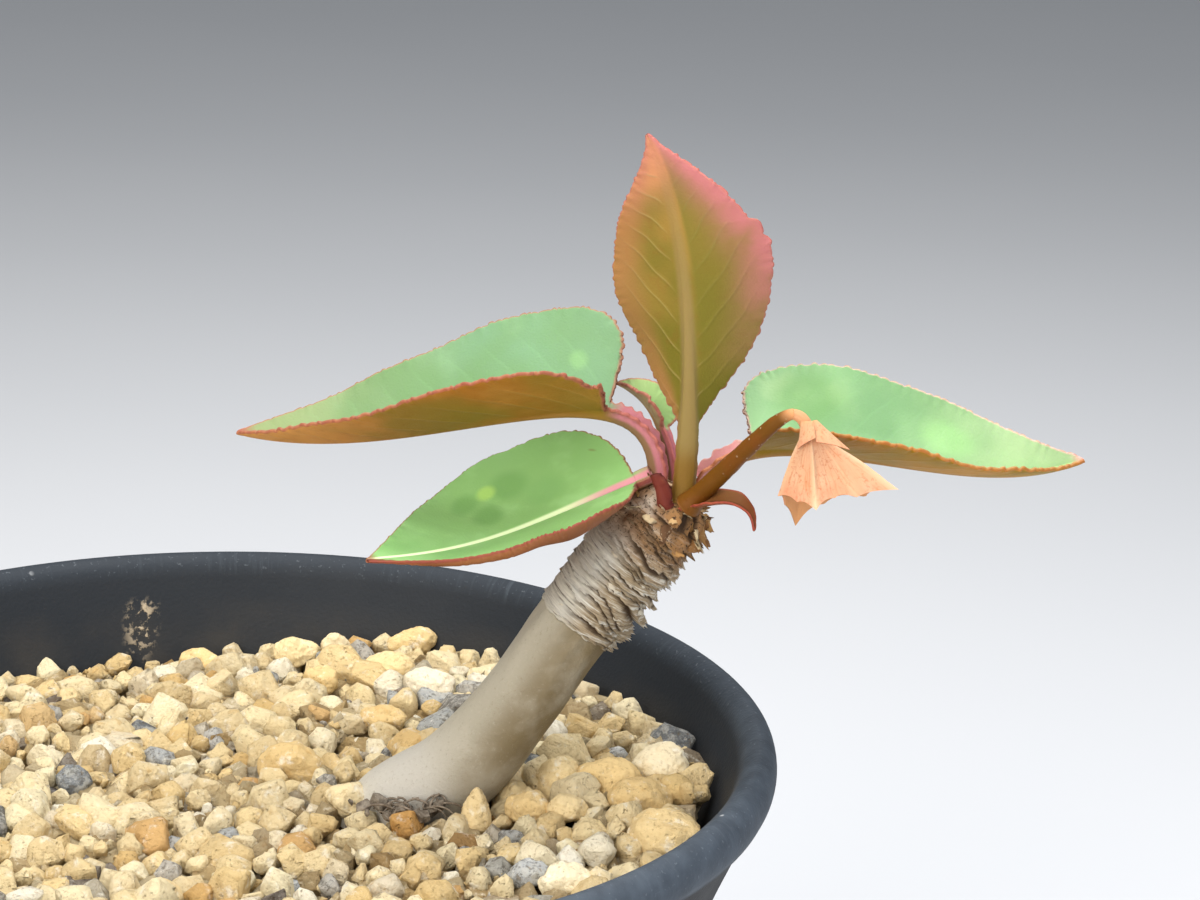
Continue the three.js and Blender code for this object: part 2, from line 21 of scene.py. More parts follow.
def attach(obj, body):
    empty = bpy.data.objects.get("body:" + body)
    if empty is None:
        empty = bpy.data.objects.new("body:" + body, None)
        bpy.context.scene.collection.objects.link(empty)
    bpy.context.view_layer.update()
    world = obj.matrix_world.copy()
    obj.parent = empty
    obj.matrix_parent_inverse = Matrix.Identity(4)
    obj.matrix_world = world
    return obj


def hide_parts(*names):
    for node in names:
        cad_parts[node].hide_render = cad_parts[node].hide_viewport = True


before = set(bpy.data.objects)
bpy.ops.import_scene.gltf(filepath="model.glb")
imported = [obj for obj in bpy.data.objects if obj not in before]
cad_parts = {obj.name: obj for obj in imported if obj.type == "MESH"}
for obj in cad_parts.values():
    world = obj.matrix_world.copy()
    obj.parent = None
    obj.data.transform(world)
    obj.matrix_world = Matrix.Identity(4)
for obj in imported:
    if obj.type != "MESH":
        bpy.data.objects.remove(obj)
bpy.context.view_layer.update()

MM = 0.001  # one millimetre, in the frame's metres
GAP = 0.3  # air between neighbouring pieces
BODY = "root"
LOG = logging.getLogger("potted_euphorbia")

Triple = tuple[float, float, float]
Profile = tuple[tuple[float, float], ...]


class Slot(Enum):
    """The record's material slots."""

    POT = "pot_plastic"
    GRAVEL = "gravel"
    STEM = "stem_bark"
    STALK = "stalk"
    YOUNG_LEAF = "young_leaf"
    GREEN_LEAF = "green_leaf"
    RED_LEAF = "red_leaf"
    BRACTS = "bracts"


class Facing(Enum):
    """How scattered copies are turned."""

    TUMBLED = "any way up"
    COMBED = "flat on the surface, pointing along its lie"


# Numbers and curves.


def lerp(a: Any, b: Any, share: Any) -> Any:
    """The value a share of the way from a to b."""
    return a + (b - a) * share


def smoothstep(low: float, high: float, x: Any) -> Any:
    """A soft step from 0 at low to 1 at high."""
    share = np.clip((x - low) / (high - low), 0, 1)
    return share * share * (3 - 2 * share)


def soft_max(a: Any, b: Any, blend: float) -> Any:
    """The larger of two values, with the corner between them rounded off."""
    return (a + b + np.sqrt((a - b) ** 2 + blend * blend)) / 2


def hum(x: Any, seed: int, waves: int = 4) -> Any:
    """A smooth, irregular wave of about -1 to 1, with a main wavelength of about 1.

    Args:
        x: Where it is read.
        seed: Picks the wave.
        waves: How many sine waves are added up.

    Returns:
        Its value at each x.
    """
    draw = np.random.default_rng(seed)
    parts = [
        np.sin(2 * np.pi * (x * draw.uniform(0.55, 1.7) + draw.uniform(0, 1))) / waves**0.5
        for _ in range(waves)
    ]
    return sum(parts)


def rough(points: np.ndarray, size: float, octaves: int, seed: int) -> np.ndarray:
    """Fractal noise of about -1 to 1 at each point.

    Args:
        points: Places in millimetres, in an array whose last axis is x, y, z.
        size: Width of the largest lumps in millimetres.
        octaves: How many finer layers are added.
        seed: Picks another part of the noise.

    Returns:
        One value for each point, in the array's shape without its last axis.
    """
    flat = points.reshape(-1, 3) / size + seed * 17.3
    values = [noise.fractal(Vector(p), 0.9, 2.1, octaves) for p in flat]
    return np.array(values).reshape(points.shape[:-1])


def bezier(points: tuple[Triple, ...], shares: np.ndarray) -> tuple[np.ndarray, np.ndarray]:
    """Reads a cubic Bezier curve.

    Args:
        points: Its four control points.
        shares: Where it is read, from 0 to 1.

    Returns:
        The places, and the unit tangents there.
    """
    p = np.array(points, float)
    t = shares[:, None]
    place = (1 - t) ** 3 * p[0] + 3 * (1 - t) ** 2 * t * p[1] + 3 * (1 - t) * t * t * p[2] + t**3 * p[3]
    slope = (1 - t) ** 2 * (p[1] - p[0]) + 2 * (1 - t) * t * (p[2] - p[1]) + t * t * (p[3] - p[2])
    return place, slope / np.linalg.norm(slope, axis=1, keepdims=True)


def spline(points: Any, shares: np.ndarray, tension: float = 0.25) -> tuple[np.ndarray, np.ndarray]:
    """Places and unit tangents along a smooth curve through points.

    Args:
        points: The points, one row each.
        shares: Where to read the curve, from 0 to 1, by the points' own numbering.
        tension: 0.25 keeps long and short spans even, 0 spaces them alike.

    Returns:
        The places, and the tangents there.
    """
    p = np.array(points, float)
    p = np.vstack([2 * p[0] - p[1], p, 2 * p[-1] - p[-2]])
    index = np.clip(shares * (len(p) - 3), 0, len(p) - 3 - 1e-9)
    i = index.astype(int)
    t = (index - i)[:, None]
    a, b, c, d = (p[i + k] for k in range(4))
    span = [
        np.maximum(((y - x) ** 2).sum(1, keepdims=True) ** tension, 1e-6)
        for x, y in ((a, b), (b, c), (c, d))
    ]
    leave = ((b - a) / span[0] - (c - a) / (span[0] + span[1]) + (c - b) / span[1]) * span[1]
    arrive = ((c - b) / span[1] - (d - b) / (span[1] + span[2]) + (d - c) / span[2]) * span[1]
    cube, square = 2 * b - 2 * c + leave + arrive, -3 * b + 3 * c - 2 * leave - arrive
    place = cube * t**3 + square * t**2 + leave * t + b
    slope = 3 * cube * t**2 + 2 * square * t + leave
    return place, slope / np.maximum(np.linalg.norm(slope, axis=1, keepdims=True), 1e-9)


def axes_along(tangents: np.ndarray, side: Triple) -> tuple[np.ndarray, np.ndarray]:
    """Sets up a sideways and an upward direction at each tangent.

    Args:
        tangents: The unit tangents.
        side: What sideways keeps to as well as it can.

    Returns:
        The sideways directions and the upward ones.
    """
    side_row = np.array(side, float)
    across = side_row - (tangents @ side_row)[:, None] * tangents
    across /= np.linalg.norm(across, axis=1, keepdims=True)
    return across, np.cross(across, tangents)


def tube(places: np.ndarray, tangents: np.ndarray, radii: np.ndarray, sides: int) -> np.ndarray:
    """Lays rings of points round a curve.

    Args:
        places: The curve's places.
        tangents: Its unit tangents.
        radii: One radius for each ring, or one for each point.
        sides: Points in each ring.

    Returns:
        The rings.
    """
    across, up = axes_along(tangents, (0.3, 1, 0))
    angle = np.arange(sides) * math.tau / sides
    out = across[:, None] * np.cos(angle)[None, :, None] + up[:, None] * np.sin(angle)[None, :, None]
    return places[:, None] + out * radii.reshape(len(places), -1, 1)


# Meshes.


@dataclass
class Shell:
    """A surface in millimetres, on its way to becoming a mesh, with named values at its points."""

    points: np.ndarray
    faces: list[tuple[int, ...]]
    values: dict[str, np.ndarray] = field(default_factory=dict)

    def volume(self) -> float:
        """Works out what the surface encloses.

        Returns:
            The volume, negative if the surface is inside out.
        """
        total = 0.0
        for size in {len(face) for face in self.faces}:
            corners = self.points[np.array([face for face in self.faces if len(face) == size])]
            for k in range(1, size - 1):
                total += np.einsum("ij,ij->", corners[:, 0], np.cross(corners[:, k], corners[:, k + 1]))
        return total / 6

    def outward(self) -> "Shell":
        """Turns the faces so that they point out.

        Returns:
            The same surface.
        """
        if self.volume() < 0:
            self.faces = [face[::-1] for face in self.faces]
        return self


def shell_over(
    rings: np.ndarray,
    start: np.ndarray | None = None,
    end: np.ndarray | None = None,
    values: dict[str, np.ndarray] | None = None,
) -> Shell:
    """Lays a closed surface over rings of points.

    Args:
        rings: An array of rings, points in each, and x, y, z.
        start: The point that closes the first ring. Without it, the last ring joins the first.
        end: The point that closes the last ring.
        values: Named values for the points, shaped as the rings are.

    Returns:
        The surface, with its faces pointing out.
    """
    count, size = rings.shape[:2]
    index = np.arange(count * size).reshape(count, size)
    rows = index if start is not None else np.vstack([index, index[:1]])
    near, far = rows[:-1], rows[1:]
    quads = np.stack([near, np.roll(near, -1, 1), np.roll(far, -1, 1), far], -1).reshape(-1, 4)
    faces = [tuple(quad) for quad in quads.tolist()]
    points = rings.reshape(-1, 3)
    shell = Shell(
        points, faces, {name: value.reshape(count * size, -1) for name, value in (values or {}).items()}
    )
    if start is not None and end is not None:
        shell.points = np.vstack([points, start, end])
        first, last = index[0].tolist(), index[-1].tolist()
        shell.faces += [(count * size, first[k - 1], first[k]) for k in range(size)]
        shell.faces += [(count * size + 1, last[k], last[k - 1]) for k in range(size)]
        for name, value in shell.values.items():
            shell.values[name] = np.vstack([value, value[:size].mean(0), value[-size:].mean(0)])
    return shell.outward()


def joined(shells: list[Shell]) -> Shell:
    """Makes one surface of several, with the values that they all have.

    Args:
        shells: The surfaces.

    Returns:
        The one surface.
    """
    starts = np.cumsum([0] + [len(shell.points) for shell in shells])
    faces = [
        tuple(k + start for k in face) for shell, start in zip(shells, starts.tolist())
        for face in shell.faces
    ]
    shared = set.intersection(*(set(shell.values) for shell in shells))
    values = {name: np.concatenate([shell.values[name] for shell in shells]) for name in sorted(shared)}
    return Shell(np.vstack([shell.points for shell in shells]), faces, values)


def new_mesh(
    name: str, shell: Shell, material: Material | None, sharp: float = 180
) -> Mesh:
    """Makes a mesh in metres of a surface in millimetres.

    Args:
        name: The mesh's name.
        shell: The surface.
        material: Its finish.
        sharp: Edges that turn by more degrees than this stay crisp.

    Returns:
        The mesh, with the surface's values as point attributes.
    """
    mesh = bpy.data.meshes.new(name)
    mesh.from_pydata((shell.points * MM).tolist(), [], shell.faces)
    for label, value in shell.values.items():
        vector = value.ndim == 2 and value.shape[-1] == 3
        kind, key = ("FLOAT_VECTOR", "vector") if vector else ("FLOAT", "value")
        attribute = mesh.attributes.new(label, kind, "POINT")
        attribute.data.foreach_set(key, value.astype(np.float32).ravel())
    mesh.shade_smooth()
    if sharp < 180:
        mesh.set_sharp_from_angle(angle=math.radians(sharp))
    if material:
        mesh.materials.append(material)
    return mesh


def new_piece(name: str, mesh: Mesh) -> Object:
    """Puts a mesh in the scene as an object at the origin.

    Args:
        name: The object's name.
        mesh: Its mesh.

    Returns:
        The object.
    """
    piece = bpy.data.objects.new(name, mesh)
    bpy.context.scene.collection.objects.link(piece)
    return piece


def settle(piece: Object) -> Object:
    """Turns what a piece's modifiers make into its own plain mesh, and removes them.

    Args:
        piece: The object.

    Returns:
        The same object.
    """
    graph = bpy.context.evaluated_depsgraph_get()
    evaluated = piece.evaluated_get(graph)
    mesh = bpy.data.meshes.new_from_object(evaluated, preserve_all_data_layers=True, depsgraph=graph)
    piece.modifiers.clear()
    piece.data = mesh
    return piece


def hand_over(piece: Object, slot: Slot, *nodes: str) -> None:
    """Ties a finished piece to the frame and reports it.

    Args:
        piece: The object.
        slot: Its material slot. Not used.
        *nodes: The frame's nodes that it stands for.
    """
    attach(piece, BODY)
    if nodes:
        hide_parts(*nodes)
    LOG.info("%s: %d faces", piece.name, len(piece.data.polygons))


# Node trees.


def linear(colour: str) -> tuple[float, float, float, float]:
    """Turns an sRGB hex colour into linear light.

    Args:
        colour: The colour, a # and six digits.

    Returns:
        Its linear red, green and blue, and an alpha of 1.
    """
    parts = [int(colour[k : k + 2], 16) / 255 for k in (1, 3, 5)]
    red, green, blue = (c / 12.92 if c <= 0.04045 else ((c + 0.055) / 1.055) ** 2.4 for c in parts)
    return red, green, blue, 1.0


@dataclass(frozen=True)
class Wire:
    """One output of a node, as a mask or a value that can be multiplied, added to and faded."""

    tree: NodeTree
    node: Node
    output: int | str = 0

    def __getitem__(self, output: int | str) -> "Wire":
        """Another output of the same node."""
        return Wire(self.tree, self.node, output)

    def __mul__(self, other: Any) -> "Wire":
        """The product with another wire or a number."""
        return add_node(self.tree, "ShaderNodeMath", {0: self, 1: other}, operation="MULTIPLY")

    def __rmul__(self, other: float) -> "Wire":
        """The product of a number and this wire."""
        return add_node(self.tree, "ShaderNodeMath", {0: other, 1: self}, operation="MULTIPLY")

    def __add__(self, other: Any) -> "Wire":
        """The sum with another wire or a number."""
        return add_node(self.tree, "ShaderNodeMath", {0: self, 1: other}, operation="ADD")

    def fade(self, start: float, end: float, top: float = 1.0) -> "Wire":
        """A mask that rises softly from 0 where this value is start to top where it is end."""
        inputs = {"Value": self, "From Min": start, "From Max": end, "To Min": 0.0, "To Max": top}
        return add_node(self.tree, "ShaderNodeMapRange", inputs, interpolation_type="SMOOTHSTEP")

    def set(self, inputs: dict[int | str, Any]) -> None:
        """Links or sets inputs of the wire's own node.

        Args:
            inputs: For each input, by name or number, the wire to link or the value to set.
        """
        for key, value in inputs.items():
            if isinstance(value, Wire):
                self.tree.links.new(value.node.outputs[value.output], self.node.inputs[key])
            elif isinstance(value, str) and value.startswith("#"):
                self.node.inputs[key].default_value = linear(value)
            else:
                self.node.inputs[key].default_value = value


def add_node(
    tree: NodeTree,
    kind: str,
    inputs: dict[int | str, Any] | None = None,
    stops: tuple[tuple[float, str], ...] = (),
    **settings: Any,
) -> Wire:
    """Adds a node with its settings and links.

    Args:
        tree: The tree that takes the node.
        kind: The node's Blender type.
        inputs: For each input, by name or number, the wire to link or the value to set.
        stops: Places and colours of a colour ramp.
        **settings: The node's own properties.

    Returns:
        The new node's first output.
    """
    wire = Wire(tree, tree.nodes.new(kind))
    for name, value in settings.items():
        setattr(wire.node, name, value)
    wire.set(inputs or {})
    for k, (place, colour) in enumerate(stops):
        ramp = wire.node.color_ramp.elements
        stop = ramp[k] if k < len(ramp) else ramp.new(place)
        stop.position, stop.color = place, linear(colour)
    return wire


def paint_over(base: Any, *coats: tuple[Wire, Any]) -> Wire:
    """Lays coats of colour over a base.

    Args:
        base: The ground colour, as hex or a wire.
        *coats: For each coat, its mask and its colour.

    Returns:
        The finished colour.
    """
    colour = base
    for mask, coat in coats:
        colour = add_node(mask.tree, "ShaderNodeMix", {0: mask, 6: colour, 7: coat}, data_type="RGBA")[2]
    return colour


def read_value(tree: NodeTree, name: str, output: str = "Fac") -> Wire:
    """The wire that reads a named value of the piece's own points."""
    return add_node(tree, "ShaderNodeAttribute", attribute_name=name)[output]


def start_material(name: str) -> tuple[Material, NodeTree, Wire, Wire]:
    """Starts a material.

    Args:
        name: Its name.

    Returns:
        The material, its tree, its shader and the object's own coordinates.
    """
    material = bpy.data.materials.new(name)
    material.use_nodes = True
    tree = material.node_tree
    tree.nodes.clear()
    shader = add_node(tree, "ShaderNodeBsdfPrincipled")
    add_node(tree, "ShaderNodeOutputMaterial", {"Surface": shader})
    return material, tree, shader, add_node(tree, "ShaderNodeTexCoord")["Object"]


def run_tree(piece: Object, tree: NodeTree, inputs: dict[str, Any]) -> Object:
    """Runs a geometry tree on a piece and keeps the plain mesh that it makes.

    Args:
        piece: The object whose mesh the tree starts from.
        tree: The tree.
        inputs: Values for the tree's named inputs.

    Returns:
        The same object, with its new mesh.
    """
    modifier = piece.modifiers.new(tree.name, "NODES")
    modifier.node_group = tree
    for item in tree.interface.items_tree:
        if item.in_out == "INPUT" and item.name in inputs:
            modifier[item.identifier] = inputs[item.name]
    return settle(piece)


def scatter_tree(name: str, facing: Facing) -> NodeTree:
    """Builds the tree that scatters copies over a surface, each with a tint and a shade of its own.

    Args:
        name: The tree's name.
        facing: How the copies are turned.

    Returns:
        The tree, whose inputs are named below.
    """
    tree = bpy.data.node_groups.new(name, "GeometryNodeTree")
    sockets = {
        "Geometry": "Geometry", "Spacing": "Float", "Smallest": "Float", "Largest": "Float", "Sink": "Float",
        "Tilt": "Float", "Dent": "Float", "Dent Size": "Float", "Seed": "Int", "Copies": "Collection",
        "Finish": "Material",
    }
    for label, kind in sockets.items():
        tree.interface.new_socket(label, in_out="INPUT", socket_type=f"NodeSocket{kind}")
    tree.interface.new_socket("Geometry", in_out="OUTPUT", socket_type="NodeSocketGeometry")
    given = add_node(tree, "NodeGroupInput")

    def chance(kind: str, low: Any, high: Any, stream: int) -> Wire:
        """Draws a random number or vector for each copy.

        Args:
            kind: The type of what is drawn.
            low: Its smallest value.
            high: Its largest value.
            stream: Keeps this draw apart from the others.

        Returns:
            The draw.
        """
        first = {"FLOAT_VECTOR": 0, "FLOAT": 2, "INT": 4}[kind]
        inputs = {first: low, first + 1: high, 8: given["Seed"] + float(stream)}
        return add_node(tree, "FunctionNodeRandomValue", inputs, data_type=kind)[first // 2]

    spots = add_node(
        tree, "GeometryNodeDistributePointsOnFaces",
        {
            "Mesh": given["Geometry"], "Distance Min": given["Spacing"], "Density Max": 4e5,
            "Seed": given["Seed"],
        },
        distribute_method="POISSON",
    )
    depth = chance("FLOAT", given["Sink"] * -1.0, 0.0, 1)
    shift = add_node(tree, "ShaderNodeVectorMath", {0: spots["Normal"], "Scale": depth}, operation="SCALE")
    seated = add_node(tree, "GeometryNodeSetPosition", {"Geometry": spots["Points"], "Offset": shift})
    if facing is Facing.TUMBLED:
        turn = chance("FLOAT_VECTOR", (0.0, 0.0, 0.0), (math.tau, math.tau, math.tau), 2)
    else:
        lie = add_node(tree, "GeometryNodeInputNamedAttribute", {"Name": "lie"}, data_type="FLOAT_VECTOR")
        flat = add_node(
            tree, "FunctionNodeAlignRotationToVector", {"Rotation": spots["Rotation"], "Vector": lie},
            axis="Y", pivot_axis="Z",
        )
        tilt, back = given["Tilt"], given["Tilt"] * -1.0
        lean = add_node(tree, "ShaderNodeCombineXYZ", {
            0: chance("FLOAT", 0.0, tilt, 2), 1: chance("FLOAT", back, tilt, 3),
            2: chance("FLOAT", back, tilt, 4),
        })
        turn = add_node(tree, "FunctionNodeRotateRotation", {0: flat, 1: lean}, rotation_space="LOCAL")
    # A power of the draw makes small copies commoner than large ones.
    share = add_node(tree, "ShaderNodeMath", {0: chance("FLOAT", 0.0, 1.0, 6), 1: 1.5}, operation="POWER")
    size = add_node(
        tree, "ShaderNodeMapRange", {"Value": share, "To Min": given["Smallest"], "To Max": given["Largest"]}
    )
    copies = add_node(
        tree, "GeometryNodeCollectionInfo",
        {"Collection": given["Copies"], "Separate Children": True, "Reset Children": True},
    )
    marked = add_node(tree, "GeometryNodeInstanceOnPoints", {
        "Points": seated, "Instance": copies, "Pick Instance": True,
        "Instance Index": chance("INT", 0, 1000, 5), "Rotation": turn, "Scale": size,
    })
    for stream, label in enumerate(("tint", "shade"), 7):
        marked = add_node(
            tree, "GeometryNodeStoreNamedAttribute",
            {"Geometry": marked, "Name": label, "Value": chance("FLOAT", 0.0, 1.0, stream)},
            data_type="FLOAT", domain="INSTANCE",
        )
    real = add_node(tree, "GeometryNodeRealizeInstances", {0: marked})
    fineness = add_node(tree, "ShaderNodeMath", {0: 1.0, 1: given["Dent Size"]}, operation="DIVIDE")
    place = add_node(tree, "GeometryNodeInputPosition")
    lumps = add_node(tree, "ShaderNodeTexNoise", {"Vector": place, "Scale": fineness, "Detail": 2.0})[1]
    centred = add_node(tree, "ShaderNodeVectorMath", {0: lumps, 1: (0.5, 0.5, 0.5)}, operation="SUBTRACT")
    dent = add_node(tree, "ShaderNodeVectorMath", {0: centred, "Scale": given["Dent"]}, operation="SCALE")
    worn = add_node(tree, "GeometryNodeSetPosition", {"Geometry": real, "Offset": dent})
    done = add_node(tree, "GeometryNodeSetMaterial", {"Geometry": worn, "Material": given["Finish"]})
    add_node(tree, "NodeGroupOutput", {0: done})
    return tree


def collect(name: str, meshes: list[Mesh]) -> Collection:
    """Holds the shapes that a scatter picks from, outside the scene.

    Args:
        name: The collection's name.
        meshes: The shapes.

    Returns:
        The collection.
    """
    collection = bpy.data.collections.new(name)
    for mesh in meshes:
        collection.objects.link(bpy.data.objects.new(mesh.name, mesh))
    return collection


# The pot.


@dataclass(frozen=True)
class MouldedPlastic:
    """Polypropylene, injection moulded and used: charcoal black and satin, with a scuffed bead. The bead is
    painted paler as a painted sheen, most at its front, and the outer wall under it is painted darker as
    painted shade.

    The mould gives it an even satin skin. Handling leaves fine scuffs on the bead, and watering
    leaves dust and a beige crust on the inner wall.
    """

    colour: str = "#22262b"
    # painted shade on the outer wall under the bead
    shade_under_bead: str = "#15181c"
    # painted sheen on the bead, at its front and in its mottle
    bead: str = "#47505a"
    front_sheen: str = "#4b545e"
    front_sheen_mottle: str = "#5a646e"
    grit: str = "#949ba1"
    speck: str = "#c4c7c8"
    scuff: str = "#7b858d"
    crust: str = "#c9b79a"
    dust: str = "#6b5f4c"
    roughness: float = 0.58
    rim_radius: float = 60.0
    rim_height: float = 85.4  # where the bead starts
    scuff_length: float = 2.5
    scuff_width: float = 0.25
    crust_place: Triple = (-17.8, 54.5, 82.5)

    def material(self) -> Material:
        """Makes the material.

        Returns:
            The pot's plastic.
        """
        material, tree, shader, place = start_material("moulded polypropylene, charcoal, scuffed")
        axes = add_node(tree, "ShaderNodeSeparateXYZ", {0: place})
        height = axes[2] * (1 / MM)
        # Scuffs run across the rim, so their noise is fine round the pot and long up it. The clouds
        # are 11 mm wide, the mottle of the painted sheen 2.4 mm and the crumbs of crust 1.1 mm. The grit
        # is 0.5 mm, coarser than the real grain of the mould, so that it shows.
        flat = add_node(tree, "ShaderNodeVectorMath", {0: place, 1: (1, 1, 0)}, operation="MULTIPLY")
        bearing = add_node(tree, "ShaderNodeVectorMath", {0: flat}, operation="NORMALIZE")
        around = self.rim_radius / self.scuff_width
        wide = add_node(tree, "ShaderNodeVectorMath", {0: bearing, "Scale": around}, operation="SCALE")
        upright = add_node(tree, "ShaderNodeCombineXYZ", {2: height * (1 / self.scuff_length)})
        along = add_node(tree, "ShaderNodeVectorMath", {0: wide, 1: upright}, operation="ADD")
        scuffs, clouds, grit, mist, crumbs = (
            add_node(
                tree, "ShaderNodeTexNoise",
                {"Vector": way, "Scale": scale, "Detail": detail, "Roughness": uneven},
            )
            for way, scale, detail, uneven in (
                (along, 0.35, 4.0, 0.7), (place, 90.0, 4.0, 0.5), (place, 2200.0, 3.0, 0.5),
                (place, 420.0, 5.0, 0.5), (place, 900.0, 5.0, 0.65),
            )
        )
        radius = add_node(tree, "ShaderNodeVectorMath", {0: flat}, operation="LENGTH")["Value"]
        bead = height.fade(self.rim_height - 0.6, self.rim_height + 0.6) * radius.fade(0.0555, 0.0565)
        # Painted sheen: the bead is painted paler at its front, with a paler mottle there.
        front = axes[1].fade(0.045, -0.03)
        worn = bead * scuffs.fade(0.48, 0.75) * clouds.fade(0.4, 0.65, 0.12)
        # Near the top only the inner wall lies this close to the axis.
        inside = radius.fade(0.0549, 0.0543) * height.fade(76.5, 78.0)
        specks = add_node(tree, "ShaderNodeTexVoronoi", {"Vector": place, "Scale": 160.0, "Randomness": 1.0})
        speck = specks["Distance"].fade(0.07, 0.035) * clouds.fade(0.5, 0.6)
        # Painted shade: the outer wall under the bead is painted near black.
        below = height.fade(84.8, 84.2) * radius.fade(0.0545, 0.0551)
        # A beige streak of dried minerals on the back of the inner wall.
        spot = tuple(k * MM for k in self.crust_place)
        offset = add_node(tree, "ShaderNodeVectorMath", {0: place, 1: spot}, operation="SUBTRACT")
        narrow = add_node(tree, "ShaderNodeVectorMath", {0: offset, 1: (2.4, 0.3, 1.0)}, operation="MULTIPLY")
        away = add_node(tree, "ShaderNodeVectorMath", {0: narrow}, operation="LENGTH")["Value"]
        crust = inside * away.fade(0.0065, 0.001) * crumbs.fade(0.5, 0.6) * 0.8
        low = inside * height.fade(86.5, 80.0) * clouds.fade(0.35, 0.7, 0.15)
        # Painted sheen: the bead, its front and the mottle there are painted paler.
        colour = paint_over(
            self.colour, (below, self.shade_under_bead), (bead * 0.2, self.bead),
            (bead * front * 0.5, self.front_sheen), (bead * front * mist.fade(0.3, 0.7) * 0.35, self.front_sheen_mottle),
            (bead * grit.fade(0.62, 0.74) * 0.2, self.grit), (worn, self.scuff), (low, self.dust),
            (speck, self.speck), (crust, self.crust),
        )
        relief = {"Height": grit + crust * 4.0, "Strength": 0.5, "Distance": 0.12 * MM}
        gloss = {"Value": clouds, "To Min": self.roughness - 0.1, "To Max": self.roughness + 0.2}
        shader.set({
            "Base Color": colour, "Normal": add_node(tree, "ShaderNodeBump", relief),
            "Roughness": add_node(tree, "ShaderNodeMapRange", gloss), "IOR": 1.49, "Specular IOR Level": 0.24,
        })
        return material


@dataclass
class Pot:
    """The round pot, 120 mm across its rim and 90 mm high, with a rolled bead."""

    height: float = 90.0
    rim_radius: float = 60.0
    wall_top: float = 85.0
    foot_radius: float = 37.4
    foot_slope: float = 0.14
    top_slope: float = 0.466
    wall_at_foot: float = 1.8
    wall_gain: float = 2.2
    inner_top: float = 84.4
    floor: float = 3.8
    underside: float = 1.6
    foot_width: float = 5.4
    foot_edge: float = 0.8
    pad_radius: float = 8.0
    drain_holes: int = 8
    drain_radius: float = 3.5
    drain_circle: float = 20.0
    # The bead from its parting line over the top to the inner lip: in from the rim, down from the top.
    bead: Profile = (
        (0.55, 4.75), (0.45, 4.5), (0.12, 3.8), (0.0, 2.5), (0.5, 0.95), (1.9, 0.0), (3.3, 0.7), (4.3, 2.4)
    )
    sides: int = 192
    finish: MouldedPlastic = MouldedPlastic()

    def outer_radius(self, z: Any) -> Any:
        """The outer wall's radius at a height."""
        ease = (self.top_slope - self.foot_slope) * (z / self.wall_top) ** 2 / 3
        return self.foot_radius + z * (self.foot_slope + ease)

    def inner_radius(self, z: Any) -> Any:
        """The inner wall's radius at a height."""
        return self.outer_radius(z) - self.wall_at_foot - self.wall_gain * (z / self.inner_top) ** 3

    def profile(self) -> np.ndarray:
        """Draws the outline that is turned round the pot's axis.

        Returns:
            Its radii and heights, from the pad up the outside and down the inside.
        """
        inner_foot = self.outer_radius(0) - self.foot_width
        under = [
            (self.pad_radius, 0), (self.pad_radius + 0.3, 0.1),
            (self.pad_radius + self.foot_edge, self.underside),
            (inner_foot - self.foot_edge, self.underside), (inner_foot - 0.2, 0.15), (inner_foot, 0),
        ]
        turn = np.radians(np.linspace(0, 90, 6))
        corner = self.outer_radius(0) - self.foot_edge
        heel = [(corner + self.foot_edge * math.sin(a), self.foot_edge * (1 - math.cos(a))) for a in turn]
        wall = [(self.outer_radius(z), z) for z in np.linspace(self.foot_edge + 2, self.wall_top, 22)]
        bead = [(self.rim_radius - inwards, self.height - down) for inwards, down in self.bead]
        bead = spline([(r, z, 0) for r, z in bead], np.linspace(0, 1, 32))[0][:, :2].tolist()
        inside = [(self.inner_radius(z), z) for z in np.linspace(self.inner_top - 2.5, self.floor + 1.5, 22)]
        turn = np.radians(np.linspace(0, 90, 5))
        corner = self.inner_radius(self.floor) - 1.5
        cove = [(corner + 1.5 * math.cos(a), self.floor + 1.5 * (1 - math.sin(a))) for a in turn]
        return np.array([*under, *heel, *wall, *bead, *inside, *cove])

    def build(self) -> None:
        """Turns the pot, drills its drain holes and hands it over."""
        angles = np.arange(self.sides) * math.tau / self.sides
        profile = self.profile()
        rings = np.stack([
            profile[:, :1] * np.cos(angles), profile[:, :1] * np.sin(angles), profile[:, 1:] + 0 * angles
        ], -1)
        shell = shell_over(rings, np.array([[0, 0, 0]]), np.array([[0, 0, self.floor]]))
        pot = new_piece("pot_shell", new_mesh("pot_shell", shell, self.finish.material()))
        drills = []
        for angle in (np.arange(self.drain_holes) + 0.5) * math.tau / self.drain_holes:
            turn = np.arange(32) * math.tau / 32
            round_hole = np.stack([np.cos(turn), np.sin(turn), 0 * turn], -1) * self.drain_radius
            centre = np.array([math.cos(angle), math.sin(angle), 0]) * self.drain_circle
            ends = [centre + round_hole + [0, 0, z] for z in (-self.floor, 2 * self.floor)]
            caps = [centre[None] + [0, 0, z] for z in (-self.floor, 2 * self.floor)]
            drills.append(shell_over(np.array(ends), *caps))
        drill = new_piece("drain_drill", new_mesh("drain_drill", joined(drills), None))
        cut = pot.modifiers.new("drain holes", "BOOLEAN")
        cut.operation, cut.object, cut.solver = "DIFFERENCE", drill, "EXACT"
        settle(pot)
        bpy.data.objects.remove(drill)
        pot.data.shade_smooth()
        pot.data.set_sharp_from_angle(angle=math.radians(38))
        hand_over(pot, Slot.POT, "pot")


# The gravel.


